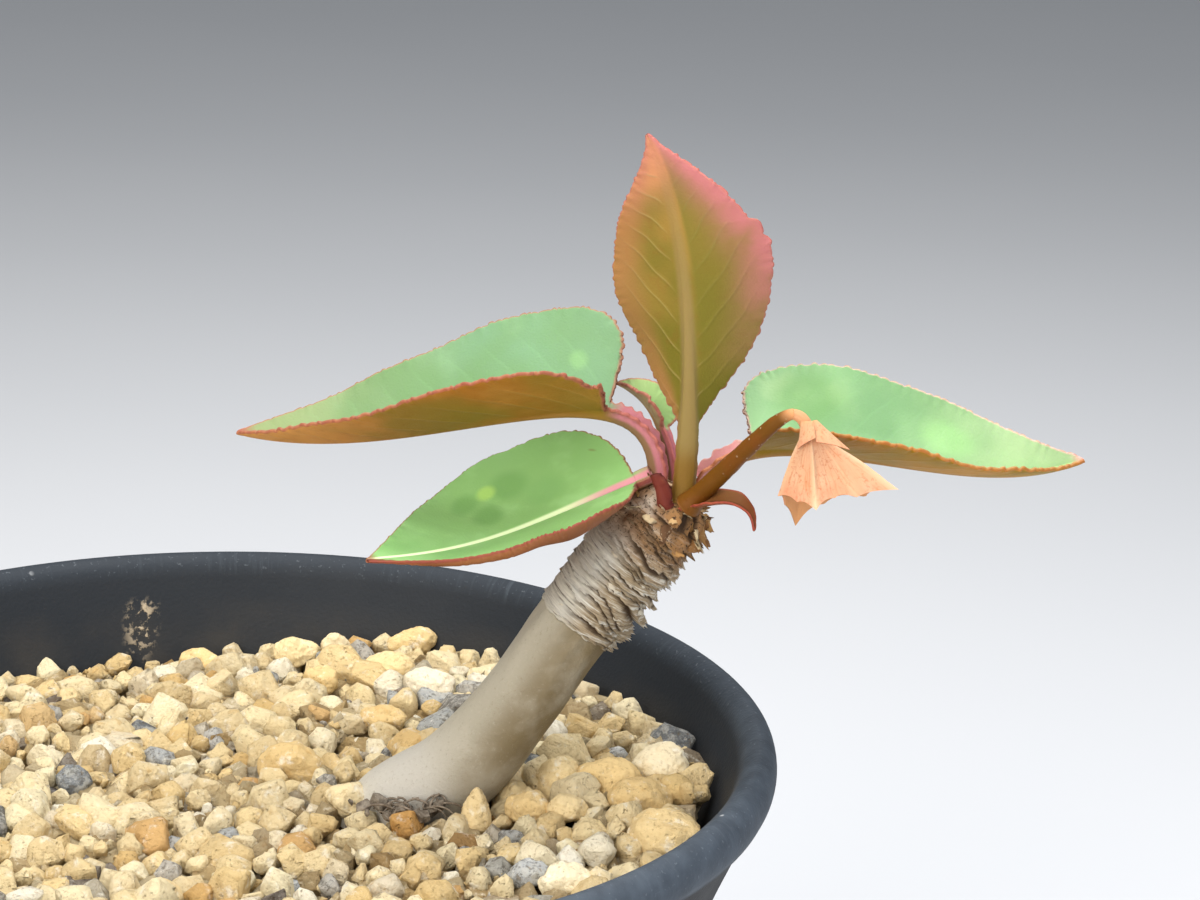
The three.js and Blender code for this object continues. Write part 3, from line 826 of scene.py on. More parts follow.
@dataclass(frozen=True)
class Pumice:
    """Crushed and sieved pumice: dry, matt, cream to tan, with fine pits and dust in its hollows, and painted
    shade on grains that lie under others.
    """

    name: str
    # The grains' colours, by the share of the grains up to which each one reaches.
    kinds: tuple[tuple[float, str], ...] = (
        (0.0, "#faf4e1"), (0.12, "#f8e8c0"), (0.40, "#f2dcaa"), (0.50, "#edd097"), (0.70, "#f8ebc4"),
        (0.84, "#e8c98d"), (0.87, "#d5a15d"), (0.89, "#e2ca9a"), (0.92, "#9b9b95"), (0.96, "#bfc1c0"),
        (0.975, "#6a6f73"),
    )
    grey_from: float = 0.9  # the tint from which a grain is a grey one
    shaded: str = "#bf9f68"
    bleached: str = "#fefaec"
    rusty: str = "#cc9e54"
    gritty: str = "#b4935f"
    grey_light: str = "#c8c5ba"
    grey_dark: str = "#5a5c5a"
    soot: str = "#77725f"
    pits: str = "#86683a"
    dust: float = 0.0  # how much of it is painted darker brown, as painted shade on grains under others
    painted_shade_colour: str = "#5f4526"
    pit_size: float = 0.25  # coarser than the real pores, so that they show
    bump: float = 1.0

    def material(self) -> Material:
        """Makes the material, which reads each grain's tint and shade.

        Returns:
            The pumice.
        """
        material, tree, shader, place = start_material(self.name)
        tint, shade = read_value(tree, "tint"), read_value(tree, "shade")
        kinds = add_node(tree, "ShaderNodeValToRGB", {"Fac": tint}, stops=self.kinds)
        # Mottling of 1.5 mm, open pores, a grain of 0.7 mm and grime of 4 mm.
        mottle, pores, fine, grime = (
            add_node(
                tree, "ShaderNodeTexNoise",
                {"Vector": place, "Scale": scale, "Detail": detail, "Roughness": uneven},
            )
            for scale, detail, uneven in (
                (650.0, 5.0, 0.65), (1 / (self.pit_size * 2 * MM), 2.0, 0.5), (1500.0, 6.0, 0.72),
                (260.0, 6.0, 0.7),
            )
        )
        pit = pores.fade(0.38, 0.28) * grime.fade(0.42, 0.54)
        stain = mottle.fade(0.54, 0.72) * shade.fade(0.2, 1.0)
        pale = mottle.fade(0.46, 0.28) * 0.6
        soot = grime.fade(0.63, 0.74) * mottle.fade(0.45, 0.6) * 0.55
        grey = tint.fade(self.grey_from, self.grey_from + 0.02)
        colour = paint_over(
            kinds, (shade.fade(0.3, 1.0, 0.4), self.shaded), (pale, self.bleached),
            (stain * 0.5, self.rusty), (fine.fade(0.46, 0.34, 0.45), self.gritty),
            (grey * mottle.fade(0.45, 0.6) * 0.6, self.grey_light),
            (grey * fine.fade(0.5, 0.4) * 0.6, self.grey_dark), (soot, self.soot), (pit * 0.4, self.pits),
            # Painted shade: darker brown patches on grains that lie under the top ones.
            (self.dust * mottle.fade(0.2, 0.5), self.painted_shade_colour),
        )
        lumps = fine * 1.2 + pit * -0.5 + mottle * 1.4
        relief = {"Height": lumps, "Strength": self.bump, "Distance": 0.55 * MM}
        bump = add_node(tree, "ShaderNodeBump", relief)
        shader.set({
            "Base Color": colour, "Normal": bump, "Roughness": 0.96, "IOR": 1.45, "Specular IOR Level": 0.12
        })
        return material


@dataclass(frozen=True)
class Humus:
    """Damp plant crumbs and dust: dark, matt and uneven. Laid as the ground between the grains, it is painted
    shade.
    """

    name: str
    dark: str
    pale: str

    def material(self) -> Material:
        """Makes the material.

        Returns:
            The crumbs and dust.
        """
        material, tree, shader, place = start_material(self.name)
        # Crumbs of 1.1 mm.
        crumbs = add_node(
            tree, "ShaderNodeTexNoise", {"Vector": place, "Scale": 900.0, "Detail": 6.0, "Roughness": 0.7}
        )
        colour = paint_over(self.dark, (crumbs.fade(0.35, 0.7), self.pale))
        bump = add_node(tree, "ShaderNodeBump", {"Height": crumbs, "Strength": 0.8, "Distance": 0.4 * MM})
        shader.set({"Base Color": colour, "Normal": bump, "Roughness": 0.95, "IOR": 1.4})
        return material


@dataclass(frozen=True)
class Pebble:
    """One of the larger, rounder stones: where it lies, its half sizes, its turn and its colour."""

    x: float
    y: float
    size: Triple
    turn: float
    tint: float
    shade: float = 0.4
    sunk: float = 0.35  # how deep its middle lies, as a share of its height


@dataclass
class GravelBed:
    """The pumice that fills the pot, with its surface level, larger pebbles and litter."""

    pot: Pot
    stem: "Stem"
    level_at_middle: float = 81.1
    rise: float = 0.06
    # Dips and mounds: middle, radius and height.
    bumps: tuple[tuple[float, float, float, float], ...] = (
        (-15.0, 50.0, 18.0, -1.4), (-52.0, 18.0, 22.0, 2.0), (50.0, 0.0, 20.0, 0.8), (12.5, 1.0, 5.5, 1.5),
    )
    variants: int = 18
    edge_softness: float = 12.0
    ground_depth: float = 3.4  # the dusty ground's depth under the grains' level
    ground_wall_top: float = 74.0  # up to here the ground keeps to the pot's wall
    ground_edge: float = 76.0
    ground_sides: int = 128
    seat_step: float = 0.8
    root_hairs: int = 14
    pebbles: tuple[Pebble, ...] = (
        Pebble(6.0, 7.5, (3.95, 3.0, 2.7), -4, 0.5, 1.0, 0.1),
        Pebble(45.1, -4.3, (3.9, 3.0, 2.6), 14, 0.5, 0.8),
        Pebble(47.8, -13.6, (3.9, 4.2, 2.9), 35, 0.45, 0.7),
        Pebble(41.6, 1.6, (4.0, 3.3, 2.8), -6, 0.83, 0.2),
        Pebble(36.0, 1.2, (2.6, 2.5, 3.2), 20, 0.43, 0.5, 0.15),
        Pebble(47.6, 5.6, (3.4, 3.0, 2.6), 0, 0.1, 0.5),
        Pebble(19.9, 32.7, (3.4, 2.4, 2.2), -12, 0.05, 0.6, 0.1),
        Pebble(15.4, 21.6, (3.0, 1.9, 1.8), -8, 0.5, 0.9, 0.1),
        Pebble(6.7, 35.0, (2.5, 1.9, 1.8), -10, 0.5, 0.7, 0.0),
        Pebble(16.4, 48.4, (3.5, 2.0, 1.9), 22, 0.5, 0.6, 0.0),
        Pebble(33.6, -22.6, (2.5, 1.9, 1.7), 0, 0.95, 0.0),
        Pebble(37.6, -24.4, (2.8, 2.1, 2.0), 15, 0.1, 0.1),
        Pebble(13.2, -3.0, (2.1, 2.6, 2.0), 30, 0.3, 0.5),
        Pebble(27.6, -7.6, (1.7, 1.8, 3.2), 12, 0.8, 0.3, 0.1),
        Pebble(33.0, -6.4, (2.6, 1.9, 2.1), -8, 0.5, 0.5, 0.1),
        Pebble(37.4, -7.6, (2.4, 1.8, 1.8), 4, 0.79, 0.4, 0.1),
        Pebble(2.2, 46.0, (3.0, 2.0, 2.2), 8, 0.42, 0.4, 0.0),
        Pebble(7.2, 47.5, (2.0, 1.6, 2.0), 0, 0.12, 0.7, 0.0),
        Pebble(-9.5, 45.0, (2.9, 2.0, 1.9), -10, 0.83, 0.1, 0.0),
        Pebble(14.6, 39.0, (3.4, 2.4, 2.0), -20, 0.45, 0.5, 0.0),
    )

    def level(self, x: Any, y: Any) -> Any:
        """The height of the gravel's surface.

        Args:
            x: Where it is read.
            y: The same.

        Returns:
            The height at each place.
        """
        bumps = [
            height * np.exp(-((x - middle_x) ** 2 + (y - middle_y) ** 2) / radius**2)
            for middle_x, middle_y, radius, height in self.bumps
        ]
        return self.level_at_middle + self.rise * x + sum(bumps)

    def grain_mesh(self, name: str, seed: int, corners: int, wear: float) -> Mesh:
        """Makes one angular grain of about unit radius, worn along its edges.

        Args:
            name: The mesh's name.
            seed: Sets the grain's shape.
            corners: How many corners it has.
            wear: How wide its edges are worn off, as a share of its radius.

        Returns:
            The mesh, one metre in radius, to be scaled down where it is placed.
        """
        draw = np.random.default_rng(seed)
        chosen = np.array([[0.0, 0.0, 1.0]])
        while len(chosen) < corners:
            tries = draw.normal(size=(9, 3))
            tries /= np.linalg.norm(tries, axis=1, keepdims=True)
            chosen = np.vstack([chosen, tries[(tries @ chosen.T).max(1).argmin()]])
        points = chosen * draw.uniform(0.8, 1.2, (corners, 1)) * draw.uniform(0.74, 1.24, 3) * 1.14
        stone = bmesh.new()
        for point in points.tolist():
            stone.verts.new(point)
        hull = bmesh.ops.convex_hull(stone, input=stone.verts)
        bmesh.ops.delete(stone, geom=hull["geom_interior"], context="VERTS")
        bmesh.ops.dissolve_limit(stone, angle_limit=0.3, verts=stone.verts, edges=stone.edges)
        if wear:
            worn = bmesh.ops.bevel(
                stone, geom=stone.edges[:], offset=wear, segments=1, profile=0.5, affect="EDGES",
                clamp_overlap=True,
            )
            # Broken faces stay flat, and only the worn edges are round.
            for face in worn["faces"]:
                face.smooth = True
        mesh = bpy.data.meshes.new(name)
        stone.to_mesh(mesh)
        stone.free()
        return mesh

    def pebble_shell(self, pebble: Pebble, seed: int) -> Shell:
        """Makes one larger stone, a ball with a few sides struck off and worn smooth.

        Args:
            pebble: The stone.
            seed: Sets its shape.

        Returns:
            Its surface.
        """
        draw = np.random.default_rng(seed)
        ball = bmesh.new()
        bmesh.ops.create_icosphere(ball, subdivisions=5, radius=1.0)
        ways = np.array([vertex.co for vertex in ball.verts])
        faces = [tuple(vertex.index for vertex in face.verts) for face in ball.faces]
        ball.free()
        struck = draw.normal(size=(9, 3))
        struck /= np.linalg.norm(struck, axis=1, keepdims=True)
        facing = np.maximum(ways @ struck.T, 1e-3) / draw.uniform(0.7, 1.0, 9)
        radius = ((facing**self.edge_softness).sum(1) + 1) ** (-1 / self.edge_softness)
        points = ways * radius[:, None]
        points *= np.array(pebble.size) / np.abs(points).max(0)
        lumps = 0.3 * rough(points + 31 * seed, 2.2, 2, seed) + 0.12 * rough(points, 0.7, 4, seed)
        points += ways * lumps[:, None]
        turn = np.array(Euler((0, 0, math.radians(pebble.turn))).to_matrix())
        z = self.level(pebble.x, pebble.y) - pebble.sunk * pebble.size[2]
        values = {label: np.full((len(points), 1), value) for label, value in (
            ("tint", pebble.tint), ("shade", pebble.shade))}
        return Shell(points @ turn.T + [pebble.x, pebble.y, z], faces, values).outward()

    def seat(
        self, name: str, lower: float, margin: float, keep: Callable[[Any, Any, Any], Any]
    ) -> Object:
        """Makes the surface that grains are scattered over.

        Args:
            name: The object's name.
            lower: How far it lies under the gravel's level.
            margin: How far it stays from the pot's wall.
            keep: Says which places it covers, from their x, y and z.

        Returns:
            The object, which the scatter then turns into grains.
        """
        reach, step = self.pot.inner_radius(self.level_at_middle) - margin, self.seat_step
        line = np.arange(-reach, reach + step, step)
        x, y = np.meshgrid(line, line, indexing="ij")
        z = self.level(x, y) - lower
        good = (np.hypot(x, y) < reach) & keep(x, y, z)
        index = np.arange(x.size).reshape(x.shape)
        whole = good[:-1, :-1] & good[1:, :-1] & good[1:, 1:] & good[:-1, 1:]
        corners = np.stack([index[:-1, :-1], index[1:, :-1], index[1:, 1:], index[:-1, 1:]], -1)[whole]
        shell = Shell(np.stack([x, y, z], -1).reshape(-1, 3), [tuple(face) for face in corners.tolist()])
        return new_piece(name, new_mesh(name, shell, None))

    def clear_of_stem(self, x: Any, y: Any, z: Any, room: float) -> Any:
        """Finds the places that lie off the stem's bark.

        Args:
            x: The places.
            y: The same.
            z: The same.
            room: How far off they lie at least.

        Returns:
            True for each such place.
        """
        route, girth = self.stem.route_points(np.linspace(0, 0.75, 60))
        places = np.stack([x, y, z], -1)[..., None, :]
        return (np.linalg.norm(places - route, axis=-1) - girth).min(-1) > room

    def clear_of_pebbles(self, x: Any, y: Any, room: float) -> Any:
        """Finds the places that lie off the pebbles.

        Args:
            x: The places.
            y: The same.
            room: How much the pebbles are grown.

        Returns:
            True for each such place.
        """
        away = [
            np.hypot((x - p.x) / (p.size[0] + room), (y - p.y) / (p.size[1] + room)) for p in self.pebbles
        ]
        return np.min(away, axis=0) > 1

    def bed(self, finish: Material) -> None:
        """Lays the dark ground under the loose grains, down to the pot's floor, as painted shade between
        them.

        Args:
            finish: Its finish.
        """
        z_low = self.pot.floor + GAP
        angles = np.arange(self.ground_sides) * math.tau / self.ground_sides
        circle = np.stack([np.cos(angles), np.sin(angles), 0 * angles], -1)
        rings = [
            circle * (self.pot.inner_radius(z) - GAP) + [0, 0, z]
            for z in np.linspace(z_low, self.ground_wall_top, 12)
        ]
        reach = self.pot.inner_radius(self.ground_edge) - GAP
        for share in np.linspace(1, 0.02, 46):
            x, y = reach * share * np.cos(angles), reach * share * np.sin(angles)
            z = self.level(x, y) - self.ground_depth
            ring = np.stack([x, y, z], -1)
            ring[:, 2] += 0.7 * rough(ring, 2.5, 3, 4)
            rings.append(ring)
        top = np.array([[0, 0, self.level(0, 0) - self.ground_depth]])
        shell = shell_over(np.array(rings), np.array([[0, 0, z_low]]), top)
        hand_over(new_piece("gravel_bed", new_mesh("gravel_bed", shell, finish)), Slot.GRAVEL, "gravel")

    def grains(self, finish: Material, shaded: Material) -> None:
        """Scatters the loose grains in two layers, and the small ones between them.

        Args:
            finish: The look of the upper grains.
            shaded: The look of the lower ones, painted darker as painted shade.
        """
        tree = scatter_tree("scattered_grains", Facing.TUMBLED)
        shapes = (
            collect(
                "grain_shapes",
                [self.grain_mesh(f"grain_{k}", k, 10 + k % 3, 0.15) for k in range(self.variants)],
            ),
            collect("lower_shapes", [self.grain_mesh(f"lower_{k}", 60 + k, 12, 0) for k in range(8)]),
            collect("crumb_shapes", [self.grain_mesh(f"crumb_{k}", 90 + k, 8, 0.15) for k in range(6)]),
        )
        layers = (
            ("gravel_grains", shapes[0], 0.6, 1.0, 2.65, (1.2, 2.75), 1.5, 11, finish),
            ("gravel_lower_grains", shapes[1], 2.4, 1.2, 2.8, (1.6, 2.3), 1.0, 12, shaded),
            ("gravel_fines", shapes[2], 1.2, 1.0, 1.8, (0.4, 1.1), 1.5, 13, finish),
        )
        for name, copies, lower, margin, spacing, sizes, sink, seed, look in layers:
            seat = self.seat(name, lower, margin, lambda x, y, z: (
                self.clear_of_stem(x, y, z, 0.15 * sizes[1]) & self.clear_of_pebbles(x, y, -0.1 * sizes[1])))
            run_tree(seat, tree, {
                "Spacing": spacing * MM, "Smallest": sizes[0] * MM, "Largest": sizes[1] * MM,
                "Sink": sink * MM, "Dent": 1.3 * MM, "Dent Size": 1.0 * MM, "Seed": seed, "Copies": copies,
                "Finish": look,
            })
            hand_over(seat, Slot.GRAVEL, "gravel")

    def stones(self, finish: Material) -> None:
        """Makes the larger pebbles, each with a shape of its own.

        Args:
            finish: Their finish.
        """
        stones = joined([self.pebble_shell(pebble, 300 + k) for k, pebble in enumerate(self.pebbles)])
        hand_over(
            new_piece("gravel_pebbles", new_mesh("gravel_pebbles", stones, finish)), Slot.GRAVEL, "gravel"
        )

    def litter(self) -> None:
        """Dark crumbs and curled root hairs at the stem's foot."""
        finish = Humus("humus crumbs, dark and dry", "#574c3f", "#978c7c").material()
        crumbs = collect("humus_shapes", [self.grain_mesh(f"humus_{k}", 160 + k, 8, 0.1) for k in range(6)])
        seat = self.seat("gravel_litter", -0.9, 3.0, lambda x, y, z: (
            self.clear_of_stem(x, y, z, 0.0) & (np.hypot((x - 19.5) / 7.0, (y + 6.0) / 2.6) < 1)))
        run_tree(seat, scatter_tree("scattered_litter", Facing.TUMBLED), {
            "Spacing": 0.8 * MM, "Smallest": 0.35 * MM, "Largest": 1.1 * MM, "Sink": 0.9 * MM, "Seed": 5,
            "Dent": 0.4 * MM, "Dent Size": 0.5 * MM, "Copies": crumbs, "Finish": finish,
        })
        hand_over(seat, Slot.GRAVEL)
        hairs = []
        for k in range(self.root_hairs):
            draw = np.random.default_rng(500 + k)
            start = np.array([draw.uniform(17, 24), draw.uniform(-8.0, -6.0), 0])
            start[2] = self.level(*start[:2]) + 0.9
            turn, coil = draw.uniform(0, math.tau), draw.uniform(0.5, 1.3)
            run = np.linspace(0, 1, 8)
            bend = turn + run * draw.uniform(3, 7)
            swing = [
                run * draw.uniform(-3, 3) + coil * np.cos(bend),
                run * draw.uniform(-1.2, 0.6) + 0.5 * coil * np.sin(bend),
                0.8 * coil * np.abs(np.sin(bend)) - run * 1.4,
            ]
            route = start + np.stack(swing, -1)
            places, tangents = spline(route, np.linspace(0, 1, 40))
            rings = tube(places, tangents, np.linspace(0.14, 0.07, 40), 6)
            hairs.append(shell_over(rings, places[:1], places[-1:]))
        roots = Humus("dry root hairs, grey-brown", "#5e5142", "#998c7b").material()
        hand_over(new_piece("stem_root_hairs", new_mesh("stem_root_hairs", joined(hairs), roots)), Slot.STEM)

    def build(self) -> None:
        """Fills the pot."""
        # Painted shade: the ground under the grains is painted dark brown, so the gaps between them look
        # deep.
        self.bed(Humus("pumice dust between the grains", "#3f2f1c", "#6f5733").material())
        # Painted shade: the lower grains are painted darker brown.
        shaded = Pumice("pumice grains under the top ones, dusty", dust=0.55).material()
        self.grains(Pumice("sieved pumice grains").material(), shaded)
        self.stones(Pumice("water-worn pumice pebbles", pits="#a5865a", bump=0.7).material())
        self.litter()


# The stem.


@dataclass(frozen=True)
class GreyBark:
    """Thin grey bark, smooth and satin below, split into papery rings above, brown in its cracks, with
    painted shadow under its ledges and painted shade on its lee side.
    """

    smooth: str = "#c7c1b1"
    chalk: str = "#bfbaae"
    olive: str = "#aaa48f"
    tan: str = "#7a6946"
    ring: str = "#d6d2c4"
    ring_pale: str = "#ece8d9"
    ring_brown: str = "#a68d66"
    crack: str = "#453220"
    crown: str = "#92642f"
    crown_pit: str = "#3f2a19"
    lee_shade: str = "#90836a"
    bleached: str = "#d3ccba"
    pit: str = "#8a7c62"
    fleck: str = "#e6e0d2"
    pit_size: float = 0.39  # three times the real pits, so that they show

    def material(self) -> Material:
        """Makes the material, which reads the collar, its cracks and the painted shadow under its ledges, the
        height, and the lee side, which it paints darker as painted shade.

        Returns:
            The stem's bark.
        """
        material, tree, shader, place = start_material("grey bark, smooth below and ringed above")
        bark, crack, age, lee = (read_value(tree, name) for name in ("bark", "crack", "age", "lee"))
        spread = read_value(tree, "spread", "Vector")
        # Clouds of 6 mm and pits. The fibres run round the collar: long round the stem, fine up it.
        cloud = add_node(tree, "ShaderNodeTexNoise", {"Vector": place, "Scale": 160.0, "Detail": 4.0})
        pits = add_node(
            tree, "ShaderNodeTexNoise",
            {"Vector": place, "Scale": 1 / (self.pit_size * MM), "Detail": 5.0, "Roughness": 0.7},
        )
        fibres = add_node(
            tree, "ShaderNodeTexNoise", {"Vector": spread, "Scale": 1.0, "Detail": 6.0, "Roughness": 0.68}
        )
        foot = age.fade(0.6, 0.42)
        high = age.fade(0.44, 0.6) * cloud.fade(0.15, 0.5)
        top = age.fade(0.9, 0.97)
        # Painted shade: the collar is painted browner on the lee side, turned from the key light.
        collar = paint_over(
            self.ring, (lee.fade(0.25, 0.9) * 0.85, self.ring_brown),
            (fibres.fade(0.48, 0.64, 0.9), self.ring_pale), (fibres.fade(0.46, 0.32) * 0.75, self.crack),
            (top * cloud.fade(0.25, 0.5) * 0.85, self.crown),
            # Painted shadow under each ledge, in the crack colour.
            (top * pits.fade(0.48, 0.38), self.crown_pit), (crack, self.crack),
        )
        # Painted shade: the bark is painted darker on the lee side, and tan where it is also high up.
        colour = paint_over(
            self.smooth, (lee.fade(0.25, 0.85) * 0.6, self.lee_shade),
            (foot * cloud.fade(0.2, 0.6), self.chalk), (high * 0.6, self.olive),
            (high * lee * 0.9, self.tan), (cloud.fade(0.55, 0.3) * high * 0.35, self.bleached),
            (pits.fade(0.56, 0.7) * 0.4, self.pit), (pits.fade(0.44, 0.3) * 0.12, self.fleck),
            (bark, collar),
        )
        relief = {"Height": pits * 0.9 + bark * fibres * 1.8, "Strength": 0.7, "Distance": 0.25 * MM}
        shader.set({
            "Base Color": colour, "Roughness": bark.fade(0.0, 1.0, 0.3) + 0.6,
            "Normal": add_node(tree, "ShaderNodeBump", relief), "IOR": 1.45,
        })
        return material


@dataclass(frozen=True)
class DryScale:
    """Dead leaf bases and lifted bark: thin, brittle and papery, tan to brown."""

    name: str = "dry papery bark scales"
    pale: str = "#d9c093"
    tan: str = "#b78d52"
    brown: str = "#7f552c"
    grey: str = "#c2b08c"
    darkest: str = "#4b3421"
    grain_light: str = "#e0cfa8"
    grain_dark: str = "#5b4029"

    def material(self) -> Material:
        """Makes the material, which reads each scale's tint.

        Returns:
            The papery scales.
        """
        material, tree, shader, place = start_material(self.name)
        kinds = add_node(
            tree, "ShaderNodeValToRGB", {"Fac": read_value(tree, "tint")},
            stops=(
                (0.0, self.grey), (0.3, self.pale), (0.55, self.tan), (0.8, self.brown), (1.0, self.darkest)
            ),
        )
        # A papery grain of 0.4 mm, coarser than the real one so that it shows.
        grain = add_node(
            tree, "ShaderNodeTexNoise", {"Vector": place, "Scale": 2400.0, "Detail": 4.0, "Roughness": 0.7}
        )
        colour = paint_over(
            kinds, (grain.fade(0.55, 0.75, 0.5), self.grain_light),
            (grain.fade(0.45, 0.25, 0.6), self.grain_dark),
        )
        bump = add_node(tree, "ShaderNodeBump", {"Height": grain, "Strength": 0.6, "Distance": 0.1 * MM})
        shader.set({"Base Color": colour, "Normal": bump, "Roughness": 0.85, "IOR": 1.45})
        return material


@dataclass
class Stem:
    """The leaning stem with its collar of ringed bark, loose flakes and old leaf scales."""

    # From the root's end to the crown: x, y, z and radius.
    route: tuple[tuple[float, float, float, float], ...] = (
        (7.5, 1.0, 52.0, 0.9), (8.2, 0.5, 62.0, 2.2), (11.6, 0.0, 72.0, 3.7), (18.0, -1.0, 80.2, 4.8),
        (25.2, -1.0, 85.2, 4.9), (31.3, -1.0, 93.1, 4.4), (36.4, -1.0, 101.4, 4.3), (41.2, -1.0, 108.5, 4.7),
        (46.8, -1.0, 116.1, 4.3),
    )
    length: float = 84.0
    sides: int = 144
    smooth_rows: int = 110
    bark_rows: int = 190
    bark_from: float = 0.775
    ledges: float = 18.0
    ledge_out: float = 1.0
    lee: Triple = (0.75, -0.35, -0.56)  # the side on which the ledges stand out most, and on which the bark is painted darker, as painted shade
    ledge_in: float = 0.12
    dome: Profile = ((0.5, 0.97), (1.2, 0.86), (1.9, 0.66), (2.4, 0.36))
    dome_top: float = 2.6
    flake_spacing: float = 3.3
    crown_spacing: float = 0.72

    def route_points(self, shares: np.ndarray) -> tuple[np.ndarray, np.ndarray]:
        """The stem's middle and its radius at shares of its length."""
        girth = spline([(r, 0, 0) for *_, r in self.route], shares, tension=0.0)[0][:, 0]
        return spline([(x, y, z) for x, y, z, _ in self.route], shares)[0], girth

    def frame_points(self, shares: np.ndarray) -> tuple[np.ndarray, ...]:
        """The stem's middle, tangent, sideways and upward directions."""
        middle, tangent = spline([(x, y, z) for x, y, z, _ in self.route], shares)
        return middle, tangent, *axes_along(tangent, (0, 1, 0))

    def surface(self, shares: np.ndarray, grow: float = 0.0) -> tuple[np.ndarray, dict[str, np.ndarray]]:
        """The stem's skin.

        Args:
            shares: Where its rings lie along the stem.
            grow: How far the skin is moved out.

        Returns:
            The rings, and the values that the bark's finish reads.
        """
        middle, tangent, across, up = self.frame_points(shares)
        girth = self.route_points(shares)[1][:, None]
        angle = (np.arange(self.sides) * math.tau / self.sides)[None]
        out = np.cos(angle)[..., None] * across[:, None] + np.sin(angle)[..., None] * up[:, None]
        plain = middle[:, None] + out * girth[..., None]
        share = shares[:, None] + 0 * angle
        lumps = rough(plain, 9.0, 2, 1)
        wander = rough(plain, 5.5, 2, 2)
        fray = rough(plain, 0.8, 3, 3)
        lee = smoothstep(-0.7, 0.75, out @ np.array(self.lee))
        step = (share - self.bark_from) / (1 - self.bark_from) * self.ledges
        step = step + 0.5 * np.sin(angle + 0.7) + 1.5 * wander + 0.16 * fray
        step = step + 0.3 * np.sin(1.7 * step)
        bark = smoothstep(-0.1, 0.12, step)
        ledge = np.floor(step)
        way = step - ledge  # 0 at a ledge's free lower edge, 1 where the next one covers it
        size = 0.8 + 0.45 * np.sin(ledge * 2.4 + 1.3 * np.cos(angle - ledge)) + 0.32 * fray
        lip = np.exp(-((way / 0.2) ** 2)) * (0.14 + 0.3 * fray)
        shelf = lerp(self.ledge_out, self.ledge_in, way**0.7) * size * lerp(0.3, 1.15, lee)
        relief = bark * (shelf + lip * lee)
        relief += smoothstep(0.925, 0.96, share) * 0.5 * rough(plain, 1.4, 2, 5)
        relief += (1 - bark) * 0.10 * lumps + bark * 0.10 * wander
        crease = smoothstep(0.6, 0.76, share) * (1 - bark) * 0.07 * np.sin(angle * 11 + 5 * lumps)
        points = plain + out * (relief + crease + grow)[..., None]
        values = {
            "bark": bark[..., None],
            # Painted shadow: dark under the lower edge of the ledge above, strongest on the lee side.
            "crack": (
                bark * smoothstep(0.55, 0.92, way) * lerp(0.2, 1, smoothstep(0.1, 0.8, lee))
            )[..., None],
            "lee": lee[..., None], "age": share[..., None],
            "spread": np.stack([angle * girth * 0.26, share * self.length * 3.2, 0.4 * ledge], -1),
            "lie": -tangent[:, None] + 0 * points,
        }
        return points, values

    def skin(self) -> tuple[np.ndarray, dict[str, np.ndarray]]:
        """Lays the stem's skin, with the dome over its crown.

        Returns:
            All its rings, and their values.
        """
        shares = np.concatenate([
            np.linspace(0, self.bark_from - 0.04, self.smooth_rows, endpoint=False),
            np.linspace(self.bark_from - 0.04, 1, self.bark_rows),
        ])
        rings, values = self.surface(shares)
        middle, tangent, _, _ = self.frame_points(np.array([1.0]))
        crown = []
        for height, share in self.dome:
            flat = middle[0] + (rings[-1] - middle[0]) * share + tangent[0] * height
            crown.append(flat + 0.6 * rough(flat, 1.1, 3, 7)[:, None] * tangent[0])
        rings = np.concatenate([rings, crown])
        values = {
            name: np.concatenate([value, np.repeat(value[-1:], len(crown), 0)])
            for name, value in values.items()
        }
        return rings, values

    def trunk(self, finish: Material) -> None:
        """Makes the stem itself, root and all.

        Args:
            finish: Its bark.
        """
        rings, values = self.skin()
        middle, tangent, _, _ = self.frame_points(np.array([0.0, 1.0]))
        shell = shell_over(rings, middle[:1] - tangent[:1], middle[1:] + tangent[1:] * self.dome_top, values)
        hand_over(new_piece("stem_bark", new_mesh("stem_bark", shell, finish)), Slot.STEM, "stem")

    def scale_mesh(self, name: str, seed: int, curl: float, slender: float, bow: float) -> Mesh:
        """Makes one thin curled scale of unit length, which points along +Y from its root.

        Args:
            name: The mesh's name.
            seed: Sets its ragged edge.
            curl: How far its tip lifts off the surface, as a share of its length.
            slender: Its half width as a share of its length.
            bow: How far its sides bend down round the stem.

        Returns:
            The mesh, in units of its own length, to be scaled down where it is placed.
        """
        draw = np.random.default_rng(seed)
        rows, columns = 4, 7
        y = np.linspace(-0.15, 1, rows)[:, None]
        x = np.linspace(-1, 1, columns)[None]
        width = (
            slender * (0.7 + 0.3 * np.sin(np.pi * np.clip(y, 0, 1)))
            * (1 + 0.15 * draw.normal(size=(rows, 1)))
        )
        taper = 1 - 0.55 * np.abs(x) ** 3
        ragged = y * taper + 0.14 * draw.normal(size=(rows, columns)) * np.clip(y, 0, 1)
        lift = (
            curl * np.clip(ragged, 0, 2) ** 2 - bow * (x * slender) ** 2
            + 0.04 * draw.normal(size=(rows, columns))
        )
        twist = draw.uniform(-0.4, 0.4)
        sheet = np.stack([x * width, ragged, lift + twist * x * y * 0.4], -1)
        rings = np.concatenate([sheet, sheet[:, ::-1] - [0, 0, 0.06]], 1)
        shell = shell_over(rings / MM, rings[:1].mean(1) / MM, rings[-1:].mean(1) / MM)
        return new_mesh(name, shell, None)

